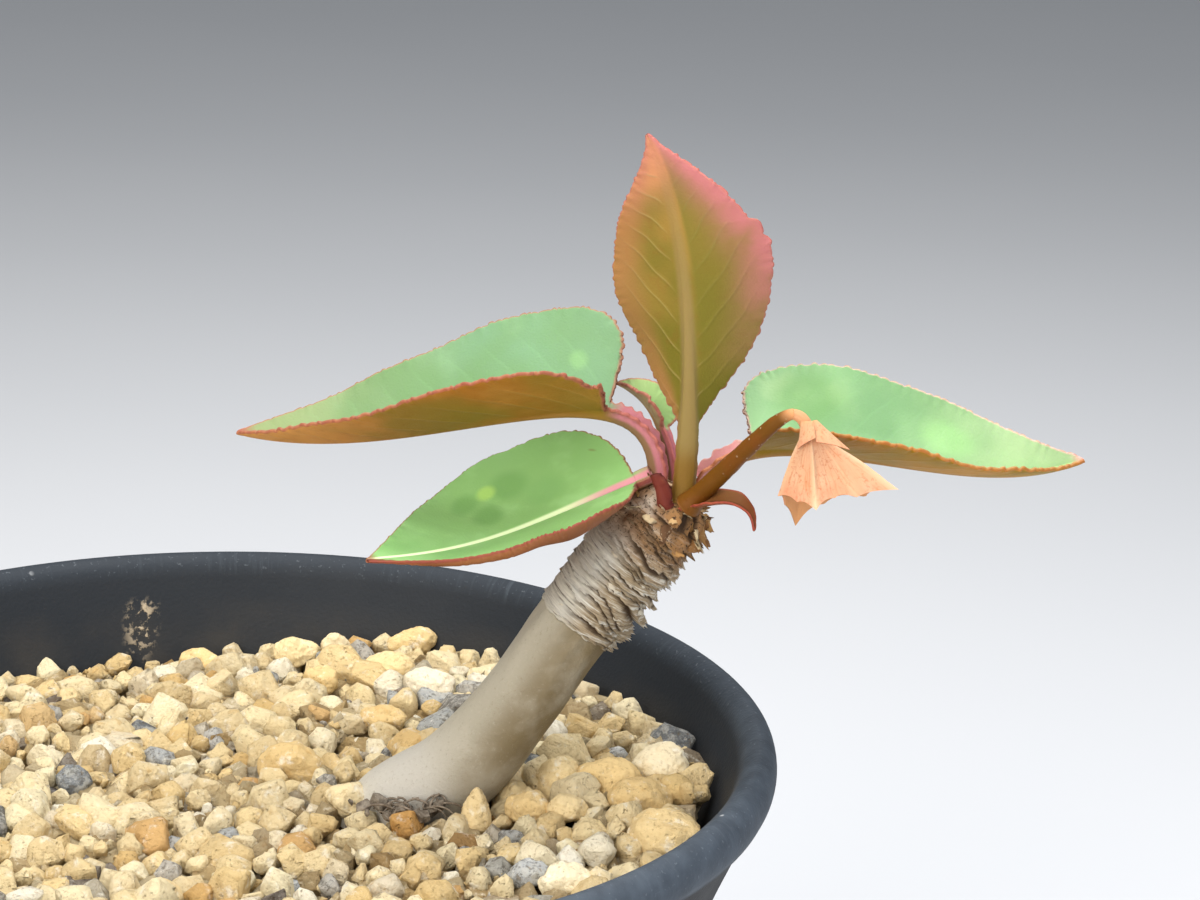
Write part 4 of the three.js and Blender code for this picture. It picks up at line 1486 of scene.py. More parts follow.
    def band(self, name: str, first: int, last: int | None) -> Object:
        """Makes a strip of the stem's skin for scales to be scattered over.

        Args:
            name: The object's name.
            first: The strip's first ring.
            last: The ring after its last one.

        Returns:
            The object.
        """
        rings, values = self.skin()
        rings, lie = rings[first:last], values["lie"][first:last]
        count, size = rings.shape[:2]
        index = np.arange(count * size).reshape(count, size)
        near, far = index[:-1], index[1:]
        corners = np.stack([near, np.roll(near, -1, 1), np.roll(far, -1, 1), far], -1).reshape(-1, 4)
        shell = Shell(
            rings.reshape(-1, 3), [tuple(face) for face in corners.tolist()], {"lie": lie.reshape(-1, 3)}
        )
        edges = np.cross(shell.points[corners[:, 1]] - shell.points[corners[:, 0]],
                         shell.points[corners[:, 3]] - shell.points[corners[:, 0]])
        if np.einsum("ij,ij->", edges, shell.points[corners[:, 0]] - shell.points.mean(0)) < 0:
            shell.faces = [face[::-1] for face in shell.faces]
        return new_piece(name, new_mesh(name, shell, None))

    def scales(self, grey: Material, brown: Material) -> None:
        """Scatters grey papery strips over the collar, and dry brown scales over the crown.

        Args:
            grey: The look of the strips.
            brown: The look of the scales.
        """
        tree = scatter_tree("scattered_scales", Facing.COMBED)
        strips = collect(
            "strip_shapes", [self.scale_mesh(f"strip_{k}", k, 0.08, 2.0, 0.12) for k in range(8)]
        )
        husks = collect(
            "husk_shapes", [self.scale_mesh(f"husk_{k}", 20 + k, 0.25, 0.6, 0.5) for k in range(10)]
        )
        bark = self.smooth_rows
        crown = bark + self.bark_rows
        bands = (
            ("stem_strips", strips, bark + 44, crown - 22, self.flake_spacing, (0.35, 0.75), 0.1, 21, grey),
            ("stem_crown_scales", husks, crown - 20, None, self.crown_spacing, (0.9, 2.2), 0.8, 22, brown),
        )
        for name, shapes, first, last, spacing, sizes, tilt, seed, finish in bands:
            seat = self.band(name, first, last)
            run_tree(seat, tree, {
                "Spacing": spacing * MM, "Smallest": sizes[0] * MM, "Largest": sizes[1] * MM,
                "Sink": 0.2 * MM, "Tilt": tilt, "Seed": seed, "Copies": shapes, "Finish": finish,
            })
            hand_over(seat, Slot.STEM)

    def build(self) -> None:
        """Grows the stem."""
        self.trunk(GreyBark().material())
        grey = DryScale(
            "lifted strips of bark, grey and papery", pale="#dcd3be", tan="#c9bda3", brown="#ad9a7a",
            grey="#d3cab7", darkest="#8f7a5a",
        )
        self.scales(grey.material(), DryScale().material())


# The leaves.


@dataclass(frozen=True)
class Mark:
    """A blotch on a leaf: its place along and across the blade, its radius and its colour."""

    along: float
    across: float
    radius: float
    colour: str
    strength: float = 0.6


@dataclass(frozen=True)
class LeafSkin:
    """A thin succulent leaf: waxy satin skin, mint green above, and tinged red below and at its edge."""

    name: str
    upper: str = "#86b881"
    upper_light: str = "#99c88f"
    upper_shade: str = "#7dab68"
    under: str = "#b57a34"
    under_light: str = "#c78d48"
    under_shade: str = "#94762c"
    upper_tip: str = "#9fc98c"
    under_tip: str = "#c98e50"
    midrib: str = "#d3e8ab"
    midrib_base: str = "#cf8f96"
    under_rib: str = "#9f7440"
    vein: str = "#9fd295"
    under_vein: str = "#bb9256"
    under_streak: str = "#8a5526"
    rim: str = "#b98076"
    rim_dark: str = "#8f4a42"
    rim_width: float = 0.34
    stalk: str = "#b9757b"
    stalk_under: str = "#86664a"
    blush: str = "#d07f7f"
    blush_left: str = "#b47552"
    blush_edge: float = 0.0  # how far the pink spreads in from the margin, in millimetres
    rim_right: str = "#a8584e"
    vein_bump: float = 0.06
    vein_show: float = 0.22  # how strongly the veins are drawn below
    roughness: float = 0.5

    def material(self, length: float, half_width: float, marks: tuple[Mark, ...]) -> Material:
        """Makes the material, which reads the leaf's own places: its rib, veins, margin and faces.

        Args:
            length: The blade's length in millimetres.
            half_width: Its half width.
            marks: The blotches on it.

        Returns:
            The leaf's skin.
        """
        material, tree, shader, place = start_material(self.name)
        rib, rim, row, live, blade, upper, across, toothy = (read_value(tree, name) for name in (
            "rib_way", "rim_way", "vein_row", "vein_live", "blade", "upper", "across", "tooth"))
        # The veins stand at whole numbers of the row count, so they stay thin on any mesh.
        way = add_node(tree, "ShaderNodeMath", {0: row, 1: 0.5}, operation="PINGPONG")
        vein = way.fade(0.07, 0.015) * live
        # Clouds of 5 mm, patches of 13 mm and streaks of 1.4 mm. The skin's cells are drawn 0.4 mm wide,
        # far coarser than the real ones, so that they show.
        cloud = add_node(tree, "ShaderNodeTexNoise", {"Vector": place, "Scale": 190.0, "Detail": 3.0})
        patch = add_node(tree, "ShaderNodeTexNoise", {"Vector": place, "Scale": 75.0, "Detail": 2.0})
        cells = add_node(
            tree, "ShaderNodeTexVoronoi", {"Vector": place, "Scale": 2300.0}, feature="DISTANCE_TO_EDGE"
        )
        streak = add_node(
            tree, "ShaderNodeTexNoise", {"Vector": place, "Scale": 700.0, "Detail": 4.0, "Roughness": 0.6}
        )
        stalk_part = blade.fade(0.02, -0.07)
        inner = blade.fade(0.26, 0.05)
        edge = rim.fade(self.rim_width, 0.1)
        top = paint_over(
            self.upper, (blade.fade(0.35, 1.0, 0.8), self.upper_tip),
            (cloud.fade(0.5, 0.75, 0.7), self.upper_light), (patch.fade(0.5, 0.3) * 0.7, self.upper_shade),
            (vein * 0.05, self.vein),
        )
        spot = add_node(
            tree, "ShaderNodeCombineXYZ", {0: blade * length, 1: across * half_width, 2: cloud * 2.0}
        )
        for mark in marks:
            away = add_node(
                tree, "ShaderNodeVectorMath",
                {0: spot, 1: (mark.along * length, mark.across * half_width, 1.0)}, operation="DISTANCE",
            )
            near = away["Value"].fade(mark.radius, mark.radius * 0.35, mark.strength)
            top = paint_over(top, (near, mark.colour))
        top = paint_over(
            top, (rib.fade(1.0, 0.5), paint_over(self.midrib, (inner, self.midrib_base))),
            (blade.fade(0.955, 0.99, 0.8), self.rim_right), (stalk_part, self.stalk),
        )
        bottom = paint_over(
            self.under, (blade.fade(0.3, 1.0, 0.9), self.under_tip),
            (cloud.fade(0.45, 0.75, 0.7), self.under_light),
            (patch.fade(0.55, 0.35) * 0.75, self.under_shade),
            (streak.fade(0.5, 0.7) * 0.2, self.under_streak),
            (blade.fade(0.3, 0.06, 0.6), self.under_shade), (vein * self.vein_show, self.under_vein),
            (rib.fade(1.4, 0.4) * blade.fade(1.1, 0.3) * 0.8, self.under_rib),
            (stalk_part, self.stalk_under), (stalk_part * rib.fade(0.9, 1.25), self.stalk),
        )
        colour = paint_over(bottom, (upper, top))
        if self.blush_edge:
            pink = rim.fade(self.blush_edge, 0.0) * cloud.fade(0.1, 0.6) * 0.9
            high = blade.fade(0.15, 0.6) * across.fade(-0.1, -0.85)
            tip = blade.fade(0.66, 0.97) * 0.45
            left = rim.fade(self.blush_edge, 0.5, 0.5) * across.fade(0.3, 0.7)
            shaded = across.fade(0.15, -0.15) * rib.fade(1.0, 2.0) * 0.75
            colour = paint_over(
                colour, (shaded, self.under_shade), (left, self.blush_left), (pink * high, self.blush),
                (tip, self.blush),
            )
        colour = paint_over(
            colour, (edge * 0.75, paint_over(self.rim, (across.fade(0.0, -0.1), self.rim_right))),
            (rim.fade(0.2, 0.03) * toothy.fade(0.3, 0.8) * blade.fade(-0.03, 0.03) * 0.5, self.rim_dark),
        )
        fine = cells + streak * 1.2
        soft_vein = way.fade(0.16, 0.0) * live
        # A vein is a furrow above and a ridge below.
        sense = add_node(tree, "ShaderNodeMath", {0: 0.5, 1: upper * 0.6}, operation="SUBTRACT")
        height = fine * 0.3 + soft_vein * sense * (16 * self.vein_bump)
        relief = {"Height": height, "Strength": 1.0, "Distance": 0.1 * MM}
        gloss = {"Value": streak, "To Min": self.roughness - 0.08, "To Max": self.roughness + 0.14}
        shader.set({
            "Base Color": colour, "Roughness": add_node(tree, "ShaderNodeMapRange", gloss),
            "Normal": add_node(tree, "ShaderNodeBump", relief), "IOR": 1.42, "Specular IOR Level": 0.15,
            "Subsurface Weight": 0.12, "Subsurface Radius": (0.6, 1.0, 0.3), "Subsurface Scale": 0.8 * MM,
        })
        return material


@dataclass
class Leaf:
    """One leaf from its stalk to its tip, folded up along the midrib, with a toothed margin."""

    node: str
    slot: Slot
    skin: LeafSkin
    midrib: tuple[Triple, Triple, Triple, Triple]
    side: Triple  # points across the left half
    bare_share: float
    half_width: float
    fullness: tuple[float, float]
    roll: float
    fold_left: tuple[float, float]
    fold_right: tuple[float, float]
    rib: tuple[float, float]
    tooth_pitch: float = 0.78
    tooth_depth: float = 0.28
    tooth_at_tip: float = 0.4
    crinkle: float = 0.08
    veins: int = 9
    vein_slant: float = 0.25
    vein_relief: float = 0.03
    trim_left: Profile = ()  # share of the blade, and millimetres that the margin stands further out
    trim_right: Profile = ()
    curl_left: float = 0.0  # degrees that the outer strip turns further up
    curl_right: float = 0.0
    curl_from: float = 0.84
    marks: tuple[Mark, ...] = ()
    thickness: float = 0.44
    wing: float = 0.35
    cup: float = 6.0
    keel_end: float = 0.5  # the midrib's depth below the outer blade, as a share of its half width
    rib_columns: int = 6
    blade_columns: int = 19
    rows_per_tooth: int = 6
    stalk_step: float = 0.22
    seed: int = 1

    def outline(self, blade: np.ndarray, trim: Profile) -> np.ndarray:
        """Draws the blade's outline.

        Args:
            blade: Shares of its length.
            trim: How far the margin stands out, by share.

        Returns:
            The half width at each share.
        """
        at_base, at_tip = self.fullness
        fullest = at_base / (at_base + at_tip)
        share = np.clip(blade, 1e-9, 1)
        width = self.half_width * (share / fullest) ** at_base * ((1 - share) / (1 - fullest)) ** at_tip
        if trim:
            width = width + np.interp(share, *zip(*trim)) * smoothstep(0, 0.04, share)
        return np.where(blade > 0, width, 0)

    def rows(self) -> tuple[np.ndarray, np.ndarray]:
        """Places the rings, close together where the margin turns fast.

        Returns:
            Where they lie along the midrib, and their place in teeth.
        """
        length = np.linalg.norm(np.diff(bezier(self.midrib, np.linspace(0, 1, 60))[0], axis=0), axis=1).sum()
        stalk_rows = max(6, round(length * self.bare_share / self.stalk_step))
        stalk = np.linspace(0, self.bare_share, stalk_rows, endpoint=False)
        # The blade is read finest at its base, where the outline starts steeply.
        fine = np.linspace(0, 1, 4000) ** 2.2
        run = np.hypot(np.diff(fine) * length * (1 - self.bare_share), np.diff(self.outline(fine, ())))
        run = np.concatenate([[0], np.cumsum(run)])
        teeth = run[-1] / self.tooth_pitch
        places = np.linspace(0, run[-1], round(teeth * self.rows_per_tooth) + 1)[:-1]
        blade = np.interp(places, run, fine)
        stalk_teeth = (np.arange(stalk_rows) - stalk_rows) * self.stalk_step / self.tooth_pitch
        shares = np.concatenate([stalk, lerp(self.bare_share, 1, blade)])
        return shares, np.concatenate([stalk_teeth, places / self.tooth_pitch])

    def half(
        self, sign: int, shares: np.ndarray, teeth: np.ndarray, axes: tuple[np.ndarray, ...]
    ) -> dict[str, Any]:
        """One half of the leaf.

        Args:
            sign: 1 for the left half, -1 for the right one.
            shares: Where the rings lie along the midrib.
            teeth: The margin's place there, counted in teeth.
            axes: The middle, tangent, sideways and upward directions at each ring.

        Returns:
            The upper and under faces from the midrib to the margin, and their values.
        """
        middle, tangent, across, up = axes
        left = sign > 0
        raw = (shares - self.bare_share) / (1 - self.bare_share)
        blade = np.clip(raw, 0, 1)
        rib = lerp(self.rib[0], self.rib[1], shares)
        tip_ease = np.sqrt(np.clip((1 - blade) / 0.06, 0, 1))
        least = (rib + self.wing * (1 + 0.2 * hum(teeth * 0.3, self.seed + 3))) * tip_ease
        full = self.outline(raw, self.trim_left if left else self.trim_right)
        margin = soft_max(full, least, 0.25 * self.half_width / 12)
        ribbed = np.minimum(1.5 * rib, 0.72 * margin)[:, None]
        steps = 1 - (1 - np.linspace(0, 1, self.blade_columns + 1)[1:]) ** 1.8
        inner = ribbed * np.linspace(0, 1, self.rib_columns)[None]
        distance = np.concatenate([inner, ribbed + (margin[:, None] - ribbed) * steps[None]], 1)
        reach, rib = margin[:, None], rib[:, None]
        s, along = distance / reach, blade[:, None]

        # The true way to the margin, which is nearest straight back where the base is wide.
        travel = np.concatenate([[0], np.cumsum(np.linalg.norm(np.diff(middle, axis=0), axis=1))])
        away = np.hypot(travel[:, None, None] - travel, distance[..., None] - margin)
        nearest = away.argmin(-1)
        rim = away.min(-1)
        slope = np.gradient(margin, travel)
        outward, backward = (1 / np.hypot(1, slope))[nearest], (slope / np.hypot(1, slope))[nearest]

        fold = self.fold_left if left else self.fold_right
        fold = np.radians(lerp(fold[0], fold[1], along))
        curl = math.radians(self.curl_left if left else self.curl_right)
        angle = (
            fold + math.radians(self.cup) * (2 * s - 1)
            + curl * smoothstep(self.curl_from, 1, s) * smoothstep(0, 0.1, along)
        )
        turn = (angle[:, 1:] + angle[:, :-1]) / 2
        width = np.diff(distance, axis=1)
        out = np.concatenate([0 * reach, np.cumsum(width * np.cos(turn), 1)], 1)
        lift = np.concatenate([0 * reach, np.cumsum(width * np.sin(turn), 1)], 1)

        phase = (teeth + 0.3 * hum(teeth * 0.23, self.seed + sign + 40) + (0.0 if left else 0.37))[nearest]
        number = np.floor(phase)
        strength = 0.75 + 0.5 * np.sin(number * 2.3 + self.seed) * np.sin(number * 0.7 + sign)
        tooth = np.abs(np.sin(np.pi * (phase - number))) ** 0.6 * strength
        calm = lerp(0.25, 1, smoothstep(-0.06, 0.03, raw))[:, None]  # the stalk's wings are nearly smooth
        near_rim = np.clip(1 - rim / 1.2, 0, 1) ** 2 * np.minimum(1, reach / 2.5)
        extra = self.tooth_depth * (tooth - 0.6) * near_rim * lerp(1, self.tooth_at_tip, along) * calm
        out = out + np.cos(angle) * extra * outward
        lift = lift + np.sin(angle) * extra * outward

        # Veins leave the midrib at an even slant and run nearly straight.
        sideways = distance / self.half_width
        row = (
            self.veins * (along**0.95 - self.vein_slant * (sideways + 0.15 * sideways**2))
            + (0.0 if left else 0.5)
        )
        row = row + 0.05 * hum(1.3 * s + 2.5 * along, self.seed)
        live = smoothstep(0.08, 0.25, s) * smoothstep(0.92, 0.6, s) * smoothstep(0.0, 0.08, along)
        live = live * smoothstep(1.5, 4.0, reach)
        puff = 0.5 - 0.5 * np.cos(2 * np.pi * row)
        ruffle = self.crinkle * np.clip(1 - rim / 2.2, 0, 1) ** 2 * np.minimum(1, reach / 3) * calm
        relief = self.vein_relief * puff * live + ruffle * hum(phase / 2.3 + self.seed, self.seed + sign, 5)
        relief = relief + 0.2 * s * s * hum(along * 2.3, self.seed + 20 + sign) * np.minimum(1, reach / 6)

        base = (
            middle[:, None] - tangent[:, None] * (extra * backward)[..., None]
            + across[:, None] * (sign * out)[..., None] + up[:, None] * lift[..., None]
        )
        normal = across[:, None] * (-sign * np.sin(angle))[..., None] + up[:, None] * np.cos(angle)[..., None]
        edge = np.minimum(0.3, 0.4 * reach)
        plump = self.thickness / 2 * np.sqrt(np.clip(1 - (np.clip(edge - rim, 0, None) / edge) ** 2, 0, 1))
        round_keel = np.sqrt(np.clip(1 - (distance / np.minimum(1.4 * rib, 0.98 * reach)) ** 2, 0, 1))
        soft_keel = np.exp(-((distance / (0.85 * rib)) ** 2))
        depth = rib * lerp(0.97, self.keel_end, smoothstep(0, 0.6, along))
        keel = depth * lerp(round_keel, soft_keel, smoothstep(0, 0.2, along)) * np.minimum(1, reach / 0.8)
        groove = 0.2 * np.exp(-((distance / (0.55 * rib)) ** 2)) * np.minimum(1, rib / 0.7)
        above = base + normal * (plump - groove + relief)[..., None]
        below = base + normal * (relief - soft_max(plump, keel, 0.08))[..., None]
        above[:, -1] = below[:, -1] = base[:, -1] + normal[:, -1] * relief[:, -1:]
        values = {
            "rib_way": distance / rib, "rim_way": rim, "vein_row": row, "vein_live": live,
            "blade": raw[:, None] + 0 * s,
            "across": sign * s, "tooth": np.clip(tooth, 0, 1),
        }
        return {"above": above, "below": below, "values": values}

    def shell(self) -> Shell:
        """Makes the whole leaf as one closed surface.

        Returns:
            The surface.
        """
        shares, teeth = self.rows()
        middle, tangent = bezier(self.midrib, shares)
        across, up = axes_along(tangent, self.side)
        roll = math.radians(self.roll)
        across, up = (
            across * math.cos(roll) + up * math.sin(roll), up * math.cos(roll) - across * math.sin(roll)
        )
        axes = (middle, tangent, across, up)
        left, right = (self.half(sign, shares, teeth, axes) for sign in (1, -1))

        def ring_of(
            face: Callable[[dict[str, Any]], np.ndarray], other: Callable[[dict[str, Any]], np.ndarray]
        ) -> Any:
            """Goes from the right margin over the top to the left one, and back underneath.

            Args:
                face: Picks what is read on top.
                other: Picks what is read below.

            Returns:
                The rings.
            """
            over = [face(right)[:, :0:-1], face(left)]
            under = [other(left)[:, -2::-1], other(right)[:, 1:-1]]
            return np.concatenate(over + under, 1)

        rings = ring_of(lambda half: half["above"], lambda half: half["below"])
        values = {
            name: ring_of(lambda half: half["values"][name], lambda half: half["values"][name])[..., None]
            for name in left["values"]
        }
        columns = self.rib_columns + self.blade_columns
        upper = np.concatenate([[0.5], np.ones(2 * columns - 3), [0.5], np.zeros(2 * columns - 3)])
        values["upper"] = np.tile(upper, (len(shares), 1))[..., None]
        start = middle[:1] - 0.2 * tangent[:1]
        end = bezier(self.midrib, np.array([1.0]))[0]
        return shell_over(rings, start, end, values)

    def build(self) -> None:
        """Grows the leaf."""
        length = np.linalg.norm(
            np.diff(bezier(self.midrib, np.linspace(self.bare_share, 1, 60))[0], axis=0), axis=1
        )
        finish = self.skin.material(length.sum(), self.half_width, self.marks)
        mesh = new_mesh(self.node, self.shell(), finish)
        hand_over(new_piece(f"{self.node}_blade", mesh), self.slot, self.node)


MINT = LeafSkin(
    "euphorbia leaf, mint above and orange-brown below", upper="#769a73", upper_light="#87a97f",
    upper_shade="#709260", upper_tip="#96a06e", under="#ae6c28", under_light="#c0823e",
    under_shade="#856f26", under_tip="#e1a863", rim="#ad6a5a", rim_right="#a8604f",
)
PALE_MINT = LeafSkin(
    "euphorbia leaf, pale mint above and olive-brown below", upper="#88ae7c", upper_light="#a2c18c",
    upper_shade="#6c9264", upper_tip="#b5c998", under="#9c7006", under_light="#ae7f10",
    under_shade="#7a6a08", under_tip="#bb8014", stalk="#c48683", stalk_under="#8e6a45", rim="#b8743e",
    rim_dark="#a2602f", rim_right="#dba9a0",
)
DEEP_GREEN = LeafSkin(
    "euphorbia leaf, deeper green above", upper="#89b76e", upper_light="#9dcb84", upper_shade="#73a15d",
    upper_tip="#8dbb76", midrib="#dcefbb", vein="#86b56e", under="#87583a", under_light="#966540",
    under_shade="#764a2e", under_tip="#a86a40", rim="#a2604f", rim_right="#8a4238", rim_width=0.26,
)
YOUNG = LeafSkin(
    "young euphorbia leaf, olive with a pink edge", upper="#8a9a4a", upper_light="#a3ae5e",
    upper_shade="#6d7c38", under="#826f2b", under_light="#8f7735", under_shade="#6e6721",
    under_rib="#91794a", under_vein="#9b894e", rim="#b16f66", rim_dark="#a3544c", rim_right="#b66f66",
    stalk="#806129", stalk_under="#806129", blush="#c07275", blush_edge=7.0, vein_bump=0.05, vein_show=0.6,
)
SMALL_GREEN = LeafSkin(
    "small euphorbia leaf, pale green with a pink edge", upper="#8fad6e", upper_light="#9fbc7d",
    upper_shade="#7a9b5c", under="#b09576", under_light="#c0a98a", under_shade="#a3906a",
    under_tip="#b99c80", midrib="#d8c4a6", midrib_base="#c68a8c", upper_tip="#b3c98a", stalk="#b5707a",
    rim="#b5665f", rim_right="#b5665f",
)
RED_BROWN = LeafSkin(
    "withering young leaf, red-brown", upper="#7c512c", upper_light="#8f6134", upper_shade="#654324",
    midrib="#5f3a20", midrib_base="#9a5a3e", under="#8c5532", under_light="#a0653e", under_shade="#724028",
    under_rib="#7d4c30", under_tip="#a5523a", upper_tip="#8c4c30", under_vein="#a5693f", rim="#a34c3c",
    rim_right="#a34c3c", rim_dark="#8c3d32", rim_width=0.42, stalk="#a0603f", stalk_under="#a0604a",
    vein="#8d5636",
)
DARK_RED = LeafSkin(
    "bud scale, dark red", upper="#6e2f24", upper_light="#7f3a2c", upper_shade="#54231c", midrib="#7f4133",
    midrib_base="#6d3329", under="#6e2f26", under_light="#834036", under_shade="#571f1a",
    under_rib="#77382d", under_vein="#7c3e33", under_tip="#6e2f26", upper_tip="#6e2f24", rim="#5f2a22",
    rim_right="#5f2a22", rim_dark="#3f1815", stalk="#6c2f26", stalk_under="#6c2f26", vein="#75392e",
)

LEAVES = (
    Leaf(
        "leaf_upright", Slot.YOUNG_LEAF, YOUNG,
        ((48.2, -3.6, 117.6), (49.1, -3.4, 129.8), (47.8, -2.0, 147.4), (42.9, 1.2, 156.0)),
        side=(-1, 0, 0), bare_share=0.16, half_width=9.4, fullness=(1.35, 1.4), roll=9,
        fold_left=(42, 20), fold_right=(54, -30), rib=(1.1, 0.42), seed=3, vein_relief=0.02, keel_end=0.3,
        veins=11, tooth_at_tip=0.8,
        trim_right=(
            (0, 0), (0.46, 0), (0.55, 0.35), (0.582, 0.6), (0.592, 0.1), (0.64, 0.45), (0.65, -0.5),
            (0.85, -0.5), (1, 0),
        ),
    ),
    Leaf(
        "leaf_right", Slot.GREEN_LEAF, PALE_MINT,
        ((50.4, 0.3, 118.7), (56.4, 0.0, 128.9), (77.6, 3.4, 115.2), (92.1, 7.0, 120.9)),
        side=(0, -1, 0), bare_share=0.205, half_width=12.0, fullness=(0.14, 0.78), roll=-4,
        fold_left=(32, 25), fold_right=(23, 70), rib=(1.05, 0.35), seed=5, wing=1.2,
        trim_left=((0, -0.8), (0.3, -1.0), (0.5, 0), (1, 0)), tooth_depth=0.44, tooth_at_tip=0.25,
        marks=(Mark(0.2, -0.6, 5.5, "#668f52", 0.6), Mark(0.6, -0.45, 4.0, "#a9d98e", 0.4)),
    ),
    Leaf(
        "leaf_upper_left", Slot.GREEN_LEAF, MINT,
        ((45.4, -0.8, 118.9), (44.7, -0.8, 135.6), (20.9, 2.6, 117.2), (-0.9, 11.6, 119.0)),
        side=(0, 1, 0), bare_share=0.28, half_width=13.4, fullness=(0.18, 0.8), roll=2,
        fold_left=(41, 46), fold_right=(38, 33), rib=(1.1, 0.35), seed=7, wing=0.85,
        tooth_depth=0.38, tooth_at_tip=0.25,
        trim_right=(
            (0, -7), (0.03, -4.2), (0.07, -2), (0.13, -0.5), (0.2, 0), (0.35, 0.2), (0.6, 0.7), (0.85, 0.4),
            (1, 0),
        ),
        # A painted highlight: a soft pale patch near the base of the far half.
        marks=(Mark(0.13, 0.5, 1.7, "#98c67c", 0.28),),
    ),
    Leaf(
        "leaf_lower_left", Slot.GREEN_LEAF, DEEP_GREEN,
        ((44.8, -2.6, 120.2), (31.0, -3.2, 113.6), (27.5, -5.5, 111.7), (15.6, -13.0, 112.8)),
        side=(0, 1, 0), bare_share=0.04, half_width=12.9, fullness=(0.4, 0.95), roll=-5,
        fold_left=(36, 9), fold_right=(-3, 4), rib=(0.95, 0.35), seed=11, curl_right=75, curl_from=0.84,
        crinkle=0.05, tooth_at_tip=0.1,
        trim_left=((0, 0), (0.25, 1.0), (0.55, 1.8), (0.8, 1.0), (1, 0)),
        trim_right=((0, 0), (0.15, 0.7), (0.5, 0.9), (1, 0)),
        marks=(
            Mark(0.36, 0.58, 3.0, "#6f9e58", 0.6), Mark(0.53, 0.62, 2.4, "#6f9e58", 0.6),
            Mark(0.48, 0.34, 2.6, "#6b9a55", 0.6), Mark(0.26, 0.35, 3.0, "#7eae68", 0.5),
            Mark(0.44, 0.62, 1.5, "#a9d26c", 0.8), Mark(0.08, 0.7, 0.5, "#7b6c3f", 0.8),
        ),
    ),
    Leaf(
        "leaf_small_back", Slot.GREEN_LEAF, SMALL_GREEN,
        ((47.2, 1.4, 117.6), (47.2, 3.4, 123.0), (44.4, 6.0, 126.4), (40.9, 7.6, 127.4)),
        side=(0.3, 1, 0.3), bare_share=0.42, half_width=3.1, fullness=(0.4, 0.8), roll=0,
        fold_left=(35, 30), fold_right=(50, 45), rib=(0.75, 0.35), seed=13, tooth_pitch=0.6, tooth_depth=0.15,
        crinkle=0.08, veins=5, blade_columns=12,
    ),
    Leaf(
        "leaf_curled", Slot.RED_LEAF, RED_BROWN,
        ((48.2, -4.4, 117.2), (50.7, -6.2, 118.3), (55.3, -8.2, 120.5), (55.7, -8.6, 116.2)),
        side=(0, -1, 0.3), bare_share=0.15, half_width=2.1, fullness=(0.5, 0.9), roll=-22,
        fold_left=(24, 18), fold_right=(24, 18), rib=(0.4, 0.16), seed=17, tooth_pitch=0.9, tooth_depth=0.04,
        crinkle=0.05, veins=0, blade_columns=10, wing=0.3, thickness=0.26, keel_end=0.4, cup=3,
    ),
    Leaf(
        "bud_scale", Slot.RED_LEAF, DARK_RED,
        ((46.3, -4.5, 117.4), (45.9, -5.3, 118.8), (45.4, -5.4, 120.0), (44.9, -5.2, 121.0)),
        side=(-0.7, 0.7, 0), bare_share=0.1, half_width=1.35, fullness=(0.25, 0.35), roll=0,
        fold_left=(30, 30), fold_right=(30, 30), rib=(0.7, 0.5), seed=19, tooth_pitch=0.6, tooth_depth=0.04,
        crinkle=0.04, veins=0, blade_columns=8,
    ),
)


# The bloom.


@dataclass(frozen=True)
class StalkSkin:
    """A flower stalk's waxy skin: olive-brown with pale dots, turning peach where it dries."""

    low: str = "#6b4310"
    high: str = "#cf9462"
    red: str = "#784016"
    dot: str = "#d9c9a8"

    def material(self) -> Material:
        """Makes the material, which reads how far up the stalk a place is.

        Returns:
            The stalk's skin.
        """
        material, tree, shader, place = start_material("flower stalk, waxy, brown to peach")
        along = read_value(tree, "along")
        # Clouds of 2.5 mm, and a pale dot about every 0.8 mm.
        cloud = add_node(tree, "ShaderNodeTexNoise", {"Vector": place, "Scale": 400.0, "Detail": 4.0})
        dots = add_node(tree, "ShaderNodeTexVoronoi", {"Vector": place, "Scale": 1300.0})["Distance"]
        dot = dots.fade(0.2, 0.1) * cloud.fade(0.3, 0.4) * 0.85
        colour = paint_over(
            self.low, (cloud.fade(0.4, 0.7, 0.5), self.red), (along.fade(0.78, 1.0), self.high),
            (dot * along.fade(0.1, 0.85, 0.9), self.dot),
        )
        height = cloud + dot * 1.5
        bump = add_node(tree, "ShaderNodeBump", {"Height": height, "Strength": 0.4, "Distance": 0.1 * MM})
        shader.set({
            "Base Color": colour, "Normal": bump, "Roughness": 0.52, "IOR": 1.42, "Specular IOR Level": 0.2,
            "Subsurface Weight": 0.08, "Subsurface Radius": (1.0, 0.5, 0.2), "Subsurface Scale": 0.6 * MM,
        })
        return material


